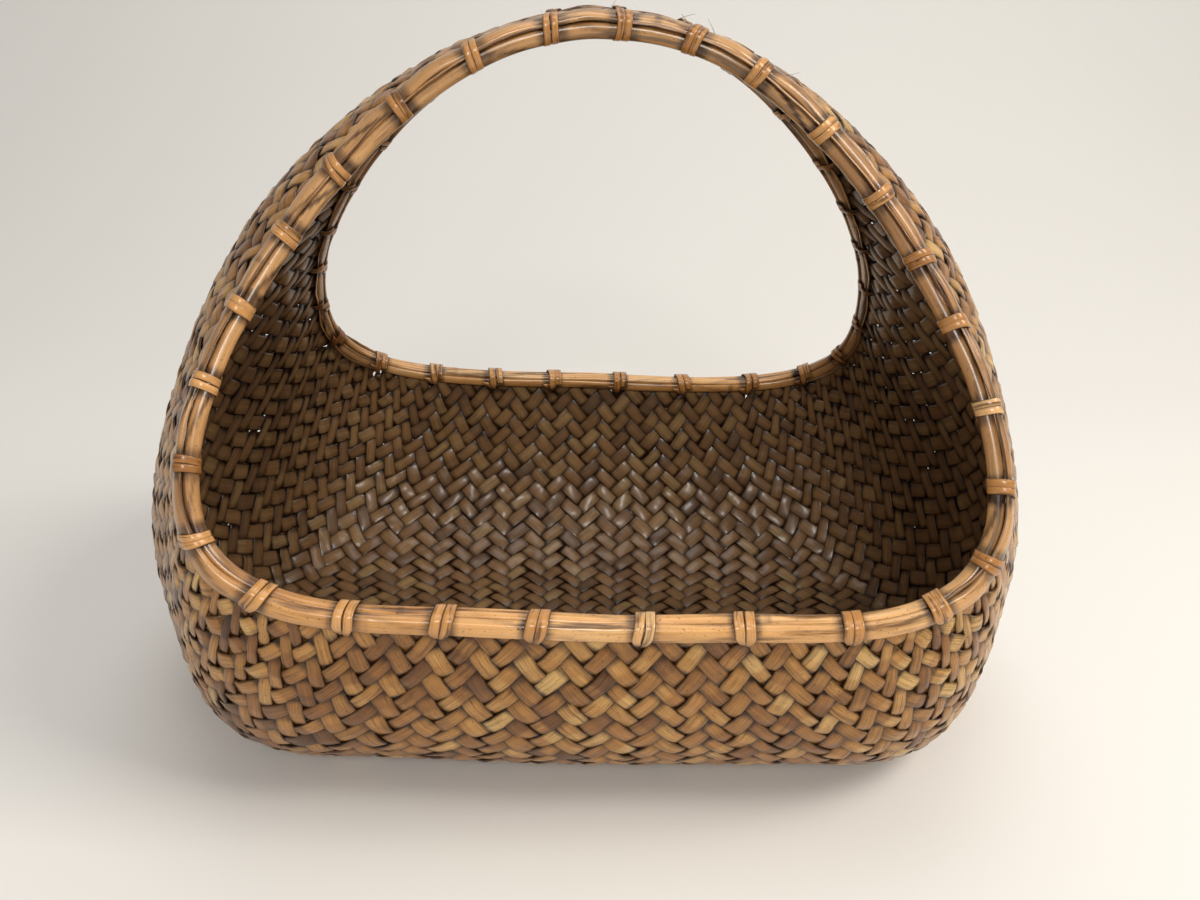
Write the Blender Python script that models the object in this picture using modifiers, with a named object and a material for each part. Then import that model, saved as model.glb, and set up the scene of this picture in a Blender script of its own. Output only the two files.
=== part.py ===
"""Plaited rattan basket whose wall runs on into its arched handle.

One woven wall goes from the floor up both sides and meets over the top, so the floor, the
sides and the handle are one piece. It leaves a wide opening in front and one behind. Round
each opening run split canes: one outside the wall, one inside it and a thin one over its
edge. Two turns of flat cane lash them together, passing through a slot in the wall.
X is the width, the front faces -Y and Z is up.
"""

import math

import bmesh
import bpy
import numpy as np

# Body, at the middle of the wall
BODY_HALF_WIDTH = 0.241
BODY_HEIGHT = 0.361
WALL_THICKNESS = 0.0044
FLOOR_PRESS = 0.005
FLOOR_EASE = 0.0015
REST_CUT = 0.0008

# Rims, at the middle of their bundle of canes
RIM_INSET = 0.068
RIM_HALF_WIDTH = BODY_HALF_WIDTH - RIM_INSET
RIM_DROP = 0.003
RIM_HEIGHT = BODY_HEIGHT - RIM_DROP
LIP_HEIGHT = 0.123
LIP_HALF_DEPTH = 0.141
HANDLE_HALF_DEPTH = 0.028
STRAIGHT_EDGE = 0.009

# Half loop from the middle of the floor and lip to the crown, in even steps
RIM_WIDTH_SHARES = (0.000, 0.364, 0.740, 0.994, 1.000, 0.884, 0.676, 0.353, 0.000)
RIM_HEIGHT_SHARES = (0.000, 0.002, 0.021, 0.136, 0.349, 0.540, 0.745, 0.936, 1.000)
RIM_DEPTH_SHARES = (1.000, 0.982, 0.982, 0.876, 0.637, 0.381, 0.177, 0.062, 0.000)
BODY_WIDTH_SHARES = (0.000, 0.309, 0.627, 0.876, 1.000, 0.888, 0.674, 0.344, 0.000)
BODY_HEIGHT_SHARES = (0.000, 0.000, 0.000, 0.003, 0.226, 0.526, 0.760, 0.937, 1.000)

# Cross section: a boxy bowl at the floor that turns into a shallow arc up the sides
BOWL_EXPONENT = 3.17
ARC_END = math.radians(62)
BOWL_END_SHARE = 0.22
ARC_START_SHARE = 0.47
BEND_STEPS = 6

# Canes of a rim, across the wall and along it
CLEARANCE = 0.0003
OUTER_CANE_DEPTH = 0.0042
OUTER_CANE_HALF_HEIGHT = 0.0045
INNER_CANE_DEPTH = 0.0032
INNER_CANE_HALF_HEIGHT = 0.0041
CANE_DROP = 0.0002
CANE_EXPONENT = 2.6
CANE_ARC_STEPS = 5
TOP_CANE_HEIGHT = 0.0049
TOP_CANE_ROUNDING = 0.0013

# Lashings: two turns of a flat strip, and the slot they pass through
LASHING_WIDTH = 0.0042
LASHING_THICKNESS = 0.0011
LASHING_PITCH = 0.0050
LASHING_TURNS = 2
LASHING_CORNER = 0.0018
HALF_TURN_CORNERS = 4
SLOT_CLEARANCE = 0.0007
LASHING_PLACE_SHARES = (
    0.020, 0.065, 0.112, 0.151, 0.181, 0.214, 0.250, 0.290, 0.323,
    0.357, 0.395, 0.433, 0.464, 0.496, 0.527, 0.5625, 0.601, 0.639,
    0.675, 0.713, 0.749, 0.785, 0.817, 0.853, 0.892, 0.933, 0.974,
)
REAR_LASHINGS_LEFT_OUT = (13,)

# Spacing of the rings of corners that the wall and the canes share
SHARPEST_TURN = math.radians(20)
SHARPEST_TWIST = math.radians(4.6)
LONGEST_FACET = 0.036

# Working values
TANGENT_STEP_SHARE = 0.001
WELD_DISTANCE = 0.00001
CUT_OVERRUN = 0.002
GAP_SAMPLE_STEPS = 8
SHARP_ANGLE = math.radians(40)

WEAVE_COLOUR = (0.42, 0.24, 0.09)
WEAVE_ROUGHNESS = 0.5
CANE_COLOUR = (0.55, 0.34, 0.14)
CANE_ROUGHNESS = 0.35
LASHING_COLOUR = (0.58, 0.38, 0.18)
LASHING_ROUGHNESS = 0.4


def clear_scene():
    """Remove every object of the open file."""
    for item in list(bpy.data.objects):
        bpy.data.objects.remove(item, do_unlink=True)


def add_collection(name):
    """Make a collection in the scene."""
    collection = bpy.data.collections.new(name)
    bpy.context.scene.collection.children.link(collection)
    return collection


def add_material(name, colour, roughness):
    """Make the Principled material of one piece."""
    material = bpy.data.materials.new(name)
    material.use_nodes = True
    shader = material.node_tree.nodes["Principled BSDF"]
    shader.inputs["Base Color"].default_value = (*colour, 1.0)
    shader.inputs["Roughness"].default_value = roughness
    shader.inputs["Metallic"].default_value = 0.0
    return material


def add_object(name, bm, collection, colour=None, roughness=None):
    """Turn a bmesh into a named, smooth shaded object."""
    bmesh.ops.recalc_face_normals(bm, faces=bm.faces)
    mesh = bpy.data.meshes.new(name)
    bm.to_mesh(mesh)
    bm.free()
    mesh.shade_smooth()
    mesh.set_sharp_from_angle(angle=SHARP_ANGLE)
    item = bpy.data.objects.new(name, mesh)
    collection.objects.link(item)
    if colour:
        mesh.materials.append(add_material(name + "_cane", colour, roughness))
    return item


def grid_form(columns, rows, place, close_columns=False, close_rows=False):
    """Move a grid onto a form, weld the sides that meet and cap the ends that stay open.

    place(column, row) gives the point of each grid corner.
    """
    bm = bmesh.new()
    bmesh.ops.create_grid(bm, x_segments=columns, y_segments=rows, size=1.0)
    for vert in bm.verts:
        column = round((vert.co.x + 1) / 2 * columns)
        row = round((vert.co.y + 1) / 2 * rows)
        vert.co = place(column % columns if close_columns else column,
                        row % rows if close_rows else row)
    bmesh.ops.remove_doubles(bm, verts=bm.verts, dist=WELD_DISTANCE)
    if close_rows and not close_columns:
        bmesh.ops.holes_fill(bm, edges=[edge for edge in bm.edges if edge.is_boundary])
    return bm


def unit(vector):
    """Vector of length one along another."""
    return vector / np.linalg.norm(vector)


def whole_loop(half_shares, mirror_sign):
    """Knots of the closed loop from those of its right half."""
    return list(half_shares) + [mirror_sign * share for share in reversed(half_shares[1:-1])]


def closed_spline(knots):
    """Cubic spline through the even knots of a closed loop, as a function of the share round it."""
    values = np.array(knots)
    count = len(values)
    weights = np.zeros((count, count))
    for i in range(count):
        weights[i, i] = 4 / 6
        weights[i, i - 1] = 1 / 6
        weights[i, (i + 1) % count] = 1 / 6
    bends = np.linalg.solve(weights, np.roll(values, -1) - 2 * values + np.roll(values, 1))

    def value(round_share):
        knot = (round_share % 1.0) * count
        i = int(knot) % count
        j = (i + 1) % count
        t = knot - int(knot)
        return ((1 - t) * values[i] + t * values[j]
                + ((1 - t) ** 3 - (1 - t)) * bends[i] / 6 + (t ** 3 - t) * bends[j] / 6)

    return value


RIM_WIDTH_AT = closed_spline(whole_loop(RIM_WIDTH_SHARES, -1))
RIM_HEIGHT_AT = closed_spline(whole_loop(RIM_HEIGHT_SHARES, 1))
RIM_DEPTH_AT = closed_spline(whole_loop(RIM_DEPTH_SHARES, 1))
BODY_WIDTH_AT = closed_spline(whole_loop(BODY_WIDTH_SHARES, -1))
BODY_HEIGHT_AT = closed_spline(whole_loop(BODY_HEIGHT_SHARES, 1))


def eased_floor(height):
    """Height with the underside pressed flat, as standing on it does."""
    return (height + math.sqrt(height ** 2 + 4 * FLOOR_EASE ** 2)) / 2


REST_HEIGHT = eased_floor(-FLOOR_PRESS) - WALL_THICKNESS / 2 + REST_CUT


def rim_point(round_share):
    """Middle of the front rim's bundle, with the height still above the pressed floor."""
    depth = HANDLE_HALF_DEPTH + (LIP_HALF_DEPTH - HANDLE_HALF_DEPTH) * RIM_DEPTH_AT(round_share)
    height = LIP_HEIGHT + (RIM_HEIGHT - LIP_HEIGHT) * RIM_HEIGHT_AT(round_share)
    return np.array((RIM_HALF_WIDTH * RIM_WIDTH_AT(round_share), -depth, height))


def body_point(round_share):
    """Middle of the wall halfway between the two rims."""
    height = (BODY_HEIGHT + FLOOR_PRESS) * BODY_HEIGHT_AT(round_share) - FLOOR_PRESS
    return np.array((BODY_HALF_WIDTH * BODY_WIDTH_AT(round_share), 0.0, height))


def section_point(round_share, edge, bend_share):
    """Point of the bent wall between the body's middle line, at 0, and its edge, at 1."""
    half_share = 1 - abs(1 - 2 * (round_share % 1.0))
    blend = (half_share - BOWL_END_SHARE) / (ARC_START_SHARE - BOWL_END_SHARE)
    blend = min(max(blend, 0.0), 1.0)
    blend = blend * blend * (3 - 2 * blend)
    bowl_angle = bend_share * math.pi / 2
    arc_angle = bend_share * ARC_END
    power = 2 / BOWL_EXPONENT
    bowl_out = math.sin(bowl_angle) ** power
    bowl_up = 1 - max(math.cos(bowl_angle), 0.0) ** power
    arc_out = math.sin(arc_angle) / math.sin(ARC_END)
    arc_up = (1 - math.cos(arc_angle)) / (1 - math.cos(ARC_END))
    out = bowl_out + (arc_out - bowl_out) * blend
    up = bowl_up + (arc_up - bowl_up) * blend
    middle = body_point(round_share)
    point = middle + (edge - middle) * up
    point[1] = edge[1] * out
    return point


def rim_frame(round_share):
    """Middle of the front rim and its directions: along it, out of the wall and up the edge."""
    middle = rim_point(round_share)
    along = unit(rim_point(round_share + TANGENT_STEP_SHARE)
                 - rim_point(round_share - TANGENT_STEP_SHARE))
    edgeward = middle - section_point(round_share, middle, 1 - TANGENT_STEP_SHARE)
    edgeward = unit(edgeward - along * edgeward.dot(along))
    return middle, along, np.cross(along, edgeward), edgeward


def settle(point, side):
    """Place a front point in the world: floor pressed flat, on the ground, mirrored if rear."""
    return (point[0], point[1] * side, point[2] - REST_HEIGHT)


def wall_point(round_share, row):
    """Middle of the wall: rows run from the rear edge to the front edge."""
    side = -1 if row <= BEND_STEPS else 1
    step = abs(row - BEND_STEPS - 1)
    middle, along, outward, edgeward = rim_frame(round_share)
    if step > BEND_STEPS:
        return settle(middle, side)
    point = section_point(round_share, middle - STRAIGHT_EDGE * edgeward, step / BEND_STEPS)
    point[2] = eased_floor(point[2])
    return settle(point, side)


def turn_and_twist(first_share, second_share):
    """Angle that the rim turns through between two shares, and the wall's edge about it."""
    first = rim_frame(first_share)
    second = rim_frame(second_share)
    chord = unit(second[0] - first[0])
    edges = [unit(frame[3] - chord * frame[3].dot(chord)) for frame in (first, second)]
    turn = math.acos(min(first[1].dot(second[1]), 1.0))
    return turn, math.acos(min(edges[0].dot(edges[1]), 1.0)), np.linalg.norm(second[0] - first[0])


def loop_stations():
    """Shares round the loop where the wall and the canes have a ring of corners."""
    knots = 2 * (len(RIM_WIDTH_SHARES) - 1)
    spans = [(i / knots, (i + 1) / knots) for i in range(knots)]
    stations = []
    while spans:
        start, end = spans.pop(0)
        turn, twist, length = turn_and_twist(start, end)
        if turn > SHARPEST_TURN or twist > SHARPEST_TWIST or length > LONGEST_FACET:
            middle = (start + end) / 2
            spans[:0] = [(start, middle), (middle, end)]
        else:
            stations.append(start)
    return stations


class Rim:
    """Bundle of canes round one opening, which places whatever sits on it.

    A place is a length run along the rim from the middle of the lip towards +X, a distance
    across the wall, outwards, and one up its edge.
    """

    def __init__(self, stations, side):
        self.side = side
        frames = [rim_frame(station) for station in stations]
        rings = np.array([np.concatenate((frame[0], frame[2], frame[3])) for frame in frames])
        self.rings = np.concatenate((rings, rings[:1]))
        steps = np.linalg.norm(np.diff(self.rings[:, :3], axis=0), axis=1)
        self.runs = np.concatenate(([0.0], np.cumsum(steps)))
        self.length = self.runs[-1]

    def place(self, run, across, up):
        """World point of a place on the rim."""
        ring = [np.interp(run % self.length, self.runs, values) for values in self.rings.T]
        middle, outward, edgeward = np.reshape(ring, (3, 3))
        return settle(middle + outward * across + edgeward * up, self.side)


def add_wall(stations, collection):
    """The plaited wall: floor, sides and handle in one, slotted for the lashings."""
    rows = 2 * (BEND_STEPS + 1)
    bm = grid_form(len(stations), rows, lambda column, row: wall_point(stations[column], row),
                   close_columns=True)
    wall = add_object("woven_wall", bm, collection, WEAVE_COLOUR, WEAVE_ROUGHNESS)
    thicken = wall.modifiers.new("wall", "SOLIDIFY")
    thicken.thickness = WALL_THICKNESS
    thicken.offset = 0.0
    thicken.use_even_offset = True
    thicken.use_quality_normals = True
    wall.modifiers.new("flat facets", "TRIANGULATE")
    return wall


def cut(item, cutter):
    """Subtract a cutter from an object."""
    modifier = item.modifiers.new(cutter.name, "BOOLEAN")
    modifier.operation = "DIFFERENCE"
    modifier.solver = "EXACT"
    modifier.object = cutter


def half_round(depth, half_height, sign):
    """Outline of a split cane: its flat side against the wall, as places across and up the edge."""
    flat = WALL_THICKNESS / 2 + CLEARANCE
    outline = []
    for i in range(CANE_ARC_STEPS + 1):
        angle = math.pi * (i / CANE_ARC_STEPS - 1 / 2)
        across = max(math.cos(angle), 0.0) ** (2 / CANE_EXPONENT)
        up = math.copysign(abs(math.sin(angle)) ** (2 / CANE_EXPONENT), math.sin(angle))
        outline.append((sign * (flat + depth * across), half_height * up - CANE_DROP))
    return outline


def edge_outline():
    """Outline of the thin cane that covers the edge of the wall."""
    half = WALL_THICKNESS / 2
    shoulder = TOP_CANE_HEIGHT - TOP_CANE_ROUNDING
    flank = half - TOP_CANE_ROUNDING
    return [(-half, CLEARANCE), (half, CLEARANCE), (half, CLEARANCE + shoulder),
            (flank, CLEARANCE + TOP_CANE_HEIGHT), (-flank, CLEARANCE + TOP_CANE_HEIGHT),
            (-half, CLEARANCE + shoulder)]


def add_cane(name, outline, rim, collection):
    """One cane that runs right round a rim."""
    bm = grid_form(len(rim.runs) - 1, len(outline),
                   lambda column, row: rim.place(rim.runs[column], *outline[row]),
                   close_columns=True, close_rows=True)
    return add_object(name, bm, collection, CANE_COLOUR, CANE_ROUGHNESS)


def bundle_box():
    """Reach of the canes across the wall, inwards and outwards, and along it, down and up."""
    outer = half_round(OUTER_CANE_DEPTH, OUTER_CANE_HALF_HEIGHT, 1)
    inner = half_round(INNER_CANE_DEPTH, INNER_CANE_HALF_HEIGHT, -1)
    corners = outer + inner + edge_outline()
    across = [corner[0] for corner in corners]
    up = [corner[1] for corner in corners]
    return min(across), max(across), min(up), max(up)


def lashing_route():
    """Middle line of a lashing, as places across, up and along the rim, and its outward side.

    It starts halfway up the inner cane, goes down, out through the wall, up, over and back,
    and moves along the rim by the pitch in each turn.
    """
    stand_off = CLEARANCE + LASHING_THICKNESS / 2
    inner, outer, bottom, top = bundle_box()
    inner, outer = inner - stand_off, outer + stand_off
    bottom, top = bottom - stand_off, top + stand_off
    corner = LASHING_CORNER + stand_off * (2 - math.sqrt(2))
    turn = [(inner, bottom + corner), (inner + corner, bottom),
            (outer - corner, bottom), (outer, bottom + corner),
            (outer, top - corner), (outer - corner, top),
            (inner + corner, top), (inner, top - corner)]
    start = (inner, (bottom + top) / 2)
    flat = np.array([start] + turn * LASHING_TURNS + [start])
    steps = np.diff(flat, axis=0)
    lengths = np.linalg.norm(steps, axis=1)
    travelled = np.concatenate(([0.0], np.cumsum(lengths)))
    drift = (travelled / travelled[-1] - 1 / 2) * LASHING_PITCH * LASHING_TURNS
    sides = np.stack((steps[:, 1], -steps[:, 0]), axis=1) / lengths[:, None]
    before = np.concatenate((sides[:1], sides))
    after = np.concatenate((sides, sides[-1:]))
    mitres = (before + after) / (1 + (before * after).sum(axis=1))[:, None]
    return np.column_stack((flat, drift)), mitres


def lashing_corners():
    """Corners of the strip's section at each point of its route."""
    route, mitres = lashing_route()
    corners = []
    for point, mitre in zip(route, mitres):
        lift = np.array((*mitre, 0.0)) * LASHING_THICKNESS / 2
        half = np.array((0.0, 0.0, LASHING_WIDTH / 2))
        corners.append((point - lift - half, point + lift - half,
                        point + lift + half, point - lift + half))
    return corners


def add_lashing(name, rim, run, collection):
    """Two turns of flat cane round the bundle, in one strip."""
    corners = lashing_corners()

    def place(column, row):
        across, up, onward = corners[column][row]
        return rim.place(run + onward, across, up)

    bm = grid_form(len(corners) - 1, len(corners[0]), place, close_rows=True)
    return add_object(name, bm, collection, LASHING_COLOUR, LASHING_ROUGHNESS)


def least_lashing_gap():
    """Least distance between two turns of a lashing, over points along their facing sides."""
    corners = np.array(lashing_corners())
    steps = np.linspace(0.0, 1.0, GAP_SAMPLE_STEPS, endpoint=False)
    sections = np.array([first + (second - first) * step
                         for first, second in zip(corners, corners[1:]) for step in steps])
    half_turn = HALF_TURN_CORNERS * GAP_SAMPLE_STEPS
    least = math.inf
    for i in range(len(sections) - half_turn):
        later = sections[i + half_turn:, :2]
        apart = later[:, :, None] - sections[i, 2:][None, None, :]
        least = min(least, float(np.linalg.norm(apart, axis=-1).min()))
    return least


def add_slots(rims, collection):
    """Cutters for the slots in the wall, one under each lashing of both rims."""
    route = lashing_route()[0]
    drop = route[:, 1].min()
    passes = [np.interp(0.0, route[i:i + 2, 0], route[i:i + 2, 2]) for i in range(len(route) - 1)
              if route[i, 1] == drop and route[i + 1, 1] == drop]
    length = passes[-1] - passes[0] + LASHING_WIDTH + 2 * SLOT_CLEARANCE
    height = LASHING_THICKNESS + 2 * SLOT_CLEARANCE
    depth = WALL_THICKNESS + 2 * CUT_OVERRUN
    shift = (passes[0] + passes[-1]) / 2
    bm = bmesh.new()
    for rim in rims:
        for place_share in LASHING_PLACE_SHARES:
            run = place_share * rim.length + shift
            for vert in bmesh.ops.create_cube(bm, size=1.0)["verts"]:
                across, up, onward = vert.co
                vert.co = rim.place(run + onward * length, across * depth, drop + up * height)
    return add_cutter("lashing_slots", bm, collection)


def add_rest_cutter(collection):
    """Cutter that planes the underside flat."""
    bm = bmesh.new()
    depth = 2 * CUT_OVERRUN
    for vert in bmesh.ops.create_cube(bm, size=1.0)["verts"]:
        vert.co.x *= 2 * BODY_HALF_WIDTH
        vert.co.y *= 2 * LIP_HALF_DEPTH
        vert.co.z = (vert.co.z - 1 / 2) * depth
    return add_cutter("rest_plane", bm, collection)


def add_cutter(name, bm, collection):
    """Make a cutter: shown as wires and left out of the basket."""
    bmesh.ops.triangulate(bm, faces=bm.faces)
    cutter = add_object(name, bm, collection)
    cutter.hide_render = True
    cutter.display_type = "WIRE"
    return cutter


def add_rim(end, rim, left_out, collection):
    """The three canes of one rim and its lashings, counted from the middle of the lip to +X."""
    outlines = {
        "outer": half_round(OUTER_CANE_DEPTH, OUTER_CANE_HALF_HEIGHT, 1),
        "inner": half_round(INNER_CANE_DEPTH, INNER_CANE_HALF_HEIGHT, -1),
        "edge": edge_outline(),
    }
    for name, outline in outlines.items():
        add_cane(f"{end}_{name}_cane", outline, rim, collection)
    for i, place_share in enumerate(LASHING_PLACE_SHARES):
        if i not in left_out:
            name = f"{end}_lashing_{i + 1:02d}"
            add_lashing(name, rim, place_share * rim.length, collection)


def main():
    """Build the basket."""
    clear_scene()
    basket = add_collection("rattan_basket")
    cutters = add_collection("cutters")
    stations = loop_stations()
    front = Rim(stations, 1)
    rear = Rim(stations, -1)
    wall = add_wall(stations, basket)
    cut(wall, add_slots((front, rear), cutters))
    cut(wall, add_rest_cutter(cutters))
    add_rim("front", front, (), basket)
    add_rim("rear", rear, REAR_LASHINGS_LEFT_OUT, basket)
    print(f"rim {front.length * 1000:.0f} mm, {len(stations)} rings of corners, "
          f"least gap in a lashing {least_lashing_gap() * 1000:.2f} mm")


if __name__ == "__main__":
    main()
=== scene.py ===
"""Looks of a plaited rattan basket with an arched handle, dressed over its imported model.

The wall is a herringbone of flat cane strands in two leanings, bound by split canes round
the front and the rear opening, and two turns of flat cane lash each bundle to the weave.
X is the width, the front faces -Y and Z is up. Lengths are in metres.
"""

import logging
import math
from dataclasses import dataclass, field
from enum import Enum

import bmesh
import bpy
import numpy as np
from mathutils import Euler, Matrix, Vector

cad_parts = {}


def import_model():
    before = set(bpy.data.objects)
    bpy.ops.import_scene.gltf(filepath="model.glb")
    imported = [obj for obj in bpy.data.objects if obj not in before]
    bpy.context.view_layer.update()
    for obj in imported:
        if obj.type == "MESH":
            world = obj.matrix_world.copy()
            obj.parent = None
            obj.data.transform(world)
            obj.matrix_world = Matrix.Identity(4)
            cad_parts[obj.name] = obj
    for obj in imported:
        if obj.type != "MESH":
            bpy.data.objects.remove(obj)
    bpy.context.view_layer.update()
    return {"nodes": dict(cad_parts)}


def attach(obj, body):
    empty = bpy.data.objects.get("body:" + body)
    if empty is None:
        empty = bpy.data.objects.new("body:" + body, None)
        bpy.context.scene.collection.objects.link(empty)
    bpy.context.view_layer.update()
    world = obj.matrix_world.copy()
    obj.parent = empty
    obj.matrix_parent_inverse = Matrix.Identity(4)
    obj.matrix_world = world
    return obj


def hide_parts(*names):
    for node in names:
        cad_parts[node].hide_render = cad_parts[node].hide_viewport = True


log = logging.getLogger("rattan basket")

BODY = "root"
TURN = 2 * math.pi
OCTAVES = (1.0, 1.7, 3.1)
OCTAVE_EVENING = 1.4
NEVER_ZERO = 1e-12


class Lean(Enum):
    """Way in which a strand of the weave leans, seen from outside with the lip up."""

    RIGHT = 1
    LEFT = -1


class End(Enum):
    """Opening that a rim goes round: its name and the side of the basket it is on."""

    FRONT = ("front", 1)
    REAR = ("rear", -1)

    @property
    def title(self) -> str:
        """Name used in the names of pieces."""
        return self.value[0]

    @property
    def side(self) -> int:
        """Sign of the mirror that takes the front to this end."""
        return self.value[1]


class Cane(Enum):
    """Split cane of a rim: its name, its number and how much of the widest bulge it takes."""

    OUTER = ("outer", 1, 1.0)
    INNER = ("inner", 2, -0.5)
    EDGE = ("edge", 3, 0.25)

    @property
    def title(self) -> str:
        """Name used in the names of pieces."""
        return self.value[0]

    @property
    def number(self) -> int:
        """Number that seeds its unevenness."""
        return self.value[1]

    @property
    def bulge_share(self) -> float:
        """Share of the widest bulge, outwards if positive."""
        return self.value[2]


def unit(vectors: np.ndarray) -> np.ndarray:
    """Scale vectors, held along the last axis, to length one."""
    return vectors / np.linalg.norm(vectors, axis=-1, keepdims=True)


def signed_power(values: np.ndarray, exponent: float) -> np.ndarray:
    """Raise the sizes of values to an exponent and keep their signs."""
    return np.sign(values) * np.abs(values) ** exponent


def soft_floor(heights: np.ndarray, ease: float) -> np.ndarray:
    """Keep heights above zero, with a soft bend of the given size as they near it."""
    return (heights + np.sqrt(heights ** 2 + 4 * ease ** 2)) / 2


def travelled(points: np.ndarray) -> np.ndarray:
    """Length from the first point of a line to each of its points."""
    steps = np.linalg.norm(np.diff(points, axis=0), axis=1)
    return np.concatenate(([0.0], np.cumsum(steps)))


def between(line: np.ndarray, places: np.ndarray) -> np.ndarray:
    """Find points between those of a closed line.

    Args:
        line: Points of the line.
        places: Places on it, counted in its points.

    Returns:
        The point at each place.
    """
    start = np.floor(places).astype(int)
    share = (places - start)[:, None]
    return line[start % len(line)] * (1 - share) + line[(start + 1) % len(line)] * share


def smooth_step(low: float, high: float, values: np.ndarray) -> np.ndarray:
    """Ease from 0 at low to 1 at high.

    Args:
        low: Value where the result is 0, which may also be the higher one.
        high: Value where the result is 1.
        values: Values to ease.

    Returns:
        The eased values.
    """
    t = np.clip((values - low) / (high - low), 0.0, 1.0)
    return t * t * (3 - 2 * t)


def slow_waves(rng: np.random.Generator, places: np.ndarray, wavelength: float) -> np.ndarray:
    """Smooth random wander along a line, about one unit high.

    Args:
        rng: Seeded source of the wave's phases.
        places: Places along the line.
        wavelength: Length of the longest wave, in the unit of the places.

    Returns:
        The wander at each place.
    """
    total = np.zeros_like(places, dtype=float)
    for octave in OCTAVES:
        phase = rng.uniform(0, TURN)
        total += np.sin(TURN * places * octave / wavelength + phase) / octave
    return total / OCTAVE_EVENING


def flat_section(sides: int, across_exponent: float = 1.0,
                 up_exponent: float = 1.0) -> tuple[np.ndarray, np.ndarray]:
    """Go round the section of a flat strip, two units wide and high.

    Args:
        sides: Number of points round it.
        across_exponent: 1 for a round section, and less for squarer edges.
        up_exponent: The same for its faces.

    Returns:
        Places across the strip and places up from its middle.
    """
    angles = (np.arange(sides) + 0.5) * TURN / sides
    return (signed_power(np.cos(angles), across_exponent),
            signed_power(np.sin(angles), up_exponent))


def grain_of(along: np.ndarray, across: np.ndarray, seed: float) -> np.ndarray:
    """Coordinates of a strip's grain, which the finishes read.

    Args:
        along: Length along the strip at each ring.
        across: Place across it at each point.
        seed: Number that sets its grain apart from other strips'.

    Returns:
        The three coordinates by ring and place round the section.
    """
    return np.stack(np.broadcast_arrays(along[:, None], across, np.full((1, 1), seed)), -1)


def linear(hex_code: str) -> tuple[float, float, float, float]:
    """Turn an sRGB hex colour to the linear values that shaders take.

    Args:
        hex_code: Six hex digits.

    Returns:
        Red, green, blue and an alpha of one.
    """
    shares = [int(hex_code[i:i + 2], 16) / 255 for i in (0, 2, 4)]
    return (*(s / 12.92 if s <= 0.04045 else ((s + 0.055) / 1.055) ** 2.4 for s in shares), 1.0)


def add_node(tree: bpy.types.NodeTree, kind: str, inputs: dict | None = None,
             **settings: object) -> bpy.types.Node:
    """Add a shader node with its settings and its inputs.

    Args:
        tree: Node tree of the material.
        kind: Type name of the node.
        inputs: Sockets to link from, or constants to set, by input name or number.
        **settings: Properties of the node itself.

    Returns:
        The new node.
    """
    node = tree.nodes.new(kind)
    for name, value in settings.items():
        setattr(node, name, value)
    for name, value in (inputs or {}).items():
        if isinstance(value, bpy.types.NodeSocket):
            tree.links.new(value, node.inputs[name])
        else:
            node.inputs[name].default_value = value
    return node


def add_object(name: str, data: bpy.types.ID) -> bpy.types.Object:
    """Put a new object into the scene.

    Args:
        name: Name of the object.
        data: Its mesh, lamp or camera.

    Returns:
        The object.
    """
    added = bpy.data.objects.new(name, data)
    bpy.context.scene.collection.objects.link(added)
    return added


def add_mesh(name: str, bm: bmesh.types.BMesh, material: bpy.types.Material) -> bpy.types.Object:
    """Turn a bmesh into a smoothly shaded object of the scene.

    Args:
        name: Name of the object and its mesh.
        bm: Shape, which is used up.
        material: Finish of the whole object.

    Returns:
        The object.
    """
    mesh = bpy.data.meshes.new(name)
    bm.to_mesh(mesh)
    bm.free()
    mesh.shade_smooth()
    mesh.materials.append(material)
    return add_object(name, mesh)


@dataclass(frozen=True)
class LoopCurve:
    """Closed cubic spline through even knots round the loop, mirrored left to right."""

    half_shares: tuple[float, ...]
    mirror_sign: int = 1

    def at(self, rounds: np.ndarray) -> np.ndarray:
        """Value of the curve.

        Args:
            rounds: Shares of the loop, from the middle of the lip towards +X.

        Returns:
            The value at each share.
        """
        half = np.array(self.half_shares)
        knots = np.concatenate((half, self.mirror_sign * half[-2:0:-1]))
        count = len(knots)
        one = np.eye(count)
        weights = (4 * one + np.roll(one, 1, axis=1) + np.roll(one, -1, axis=1)) / 6
        bends = np.linalg.solve(weights, np.roll(knots, -1) - 2 * knots + np.roll(knots, 1))
        place = np.mod(rounds, 1.0) * count
        i = place.astype(int) % count
        j = (i + 1) % count
        t = place - np.floor(place)
        return ((1 - t) * knots[i] + t * knots[j]
                + ((1 - t) ** 3 - (1 - t)) * bends[i] / 6 + (t ** 3 - t) * bends[j] / 6)


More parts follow.
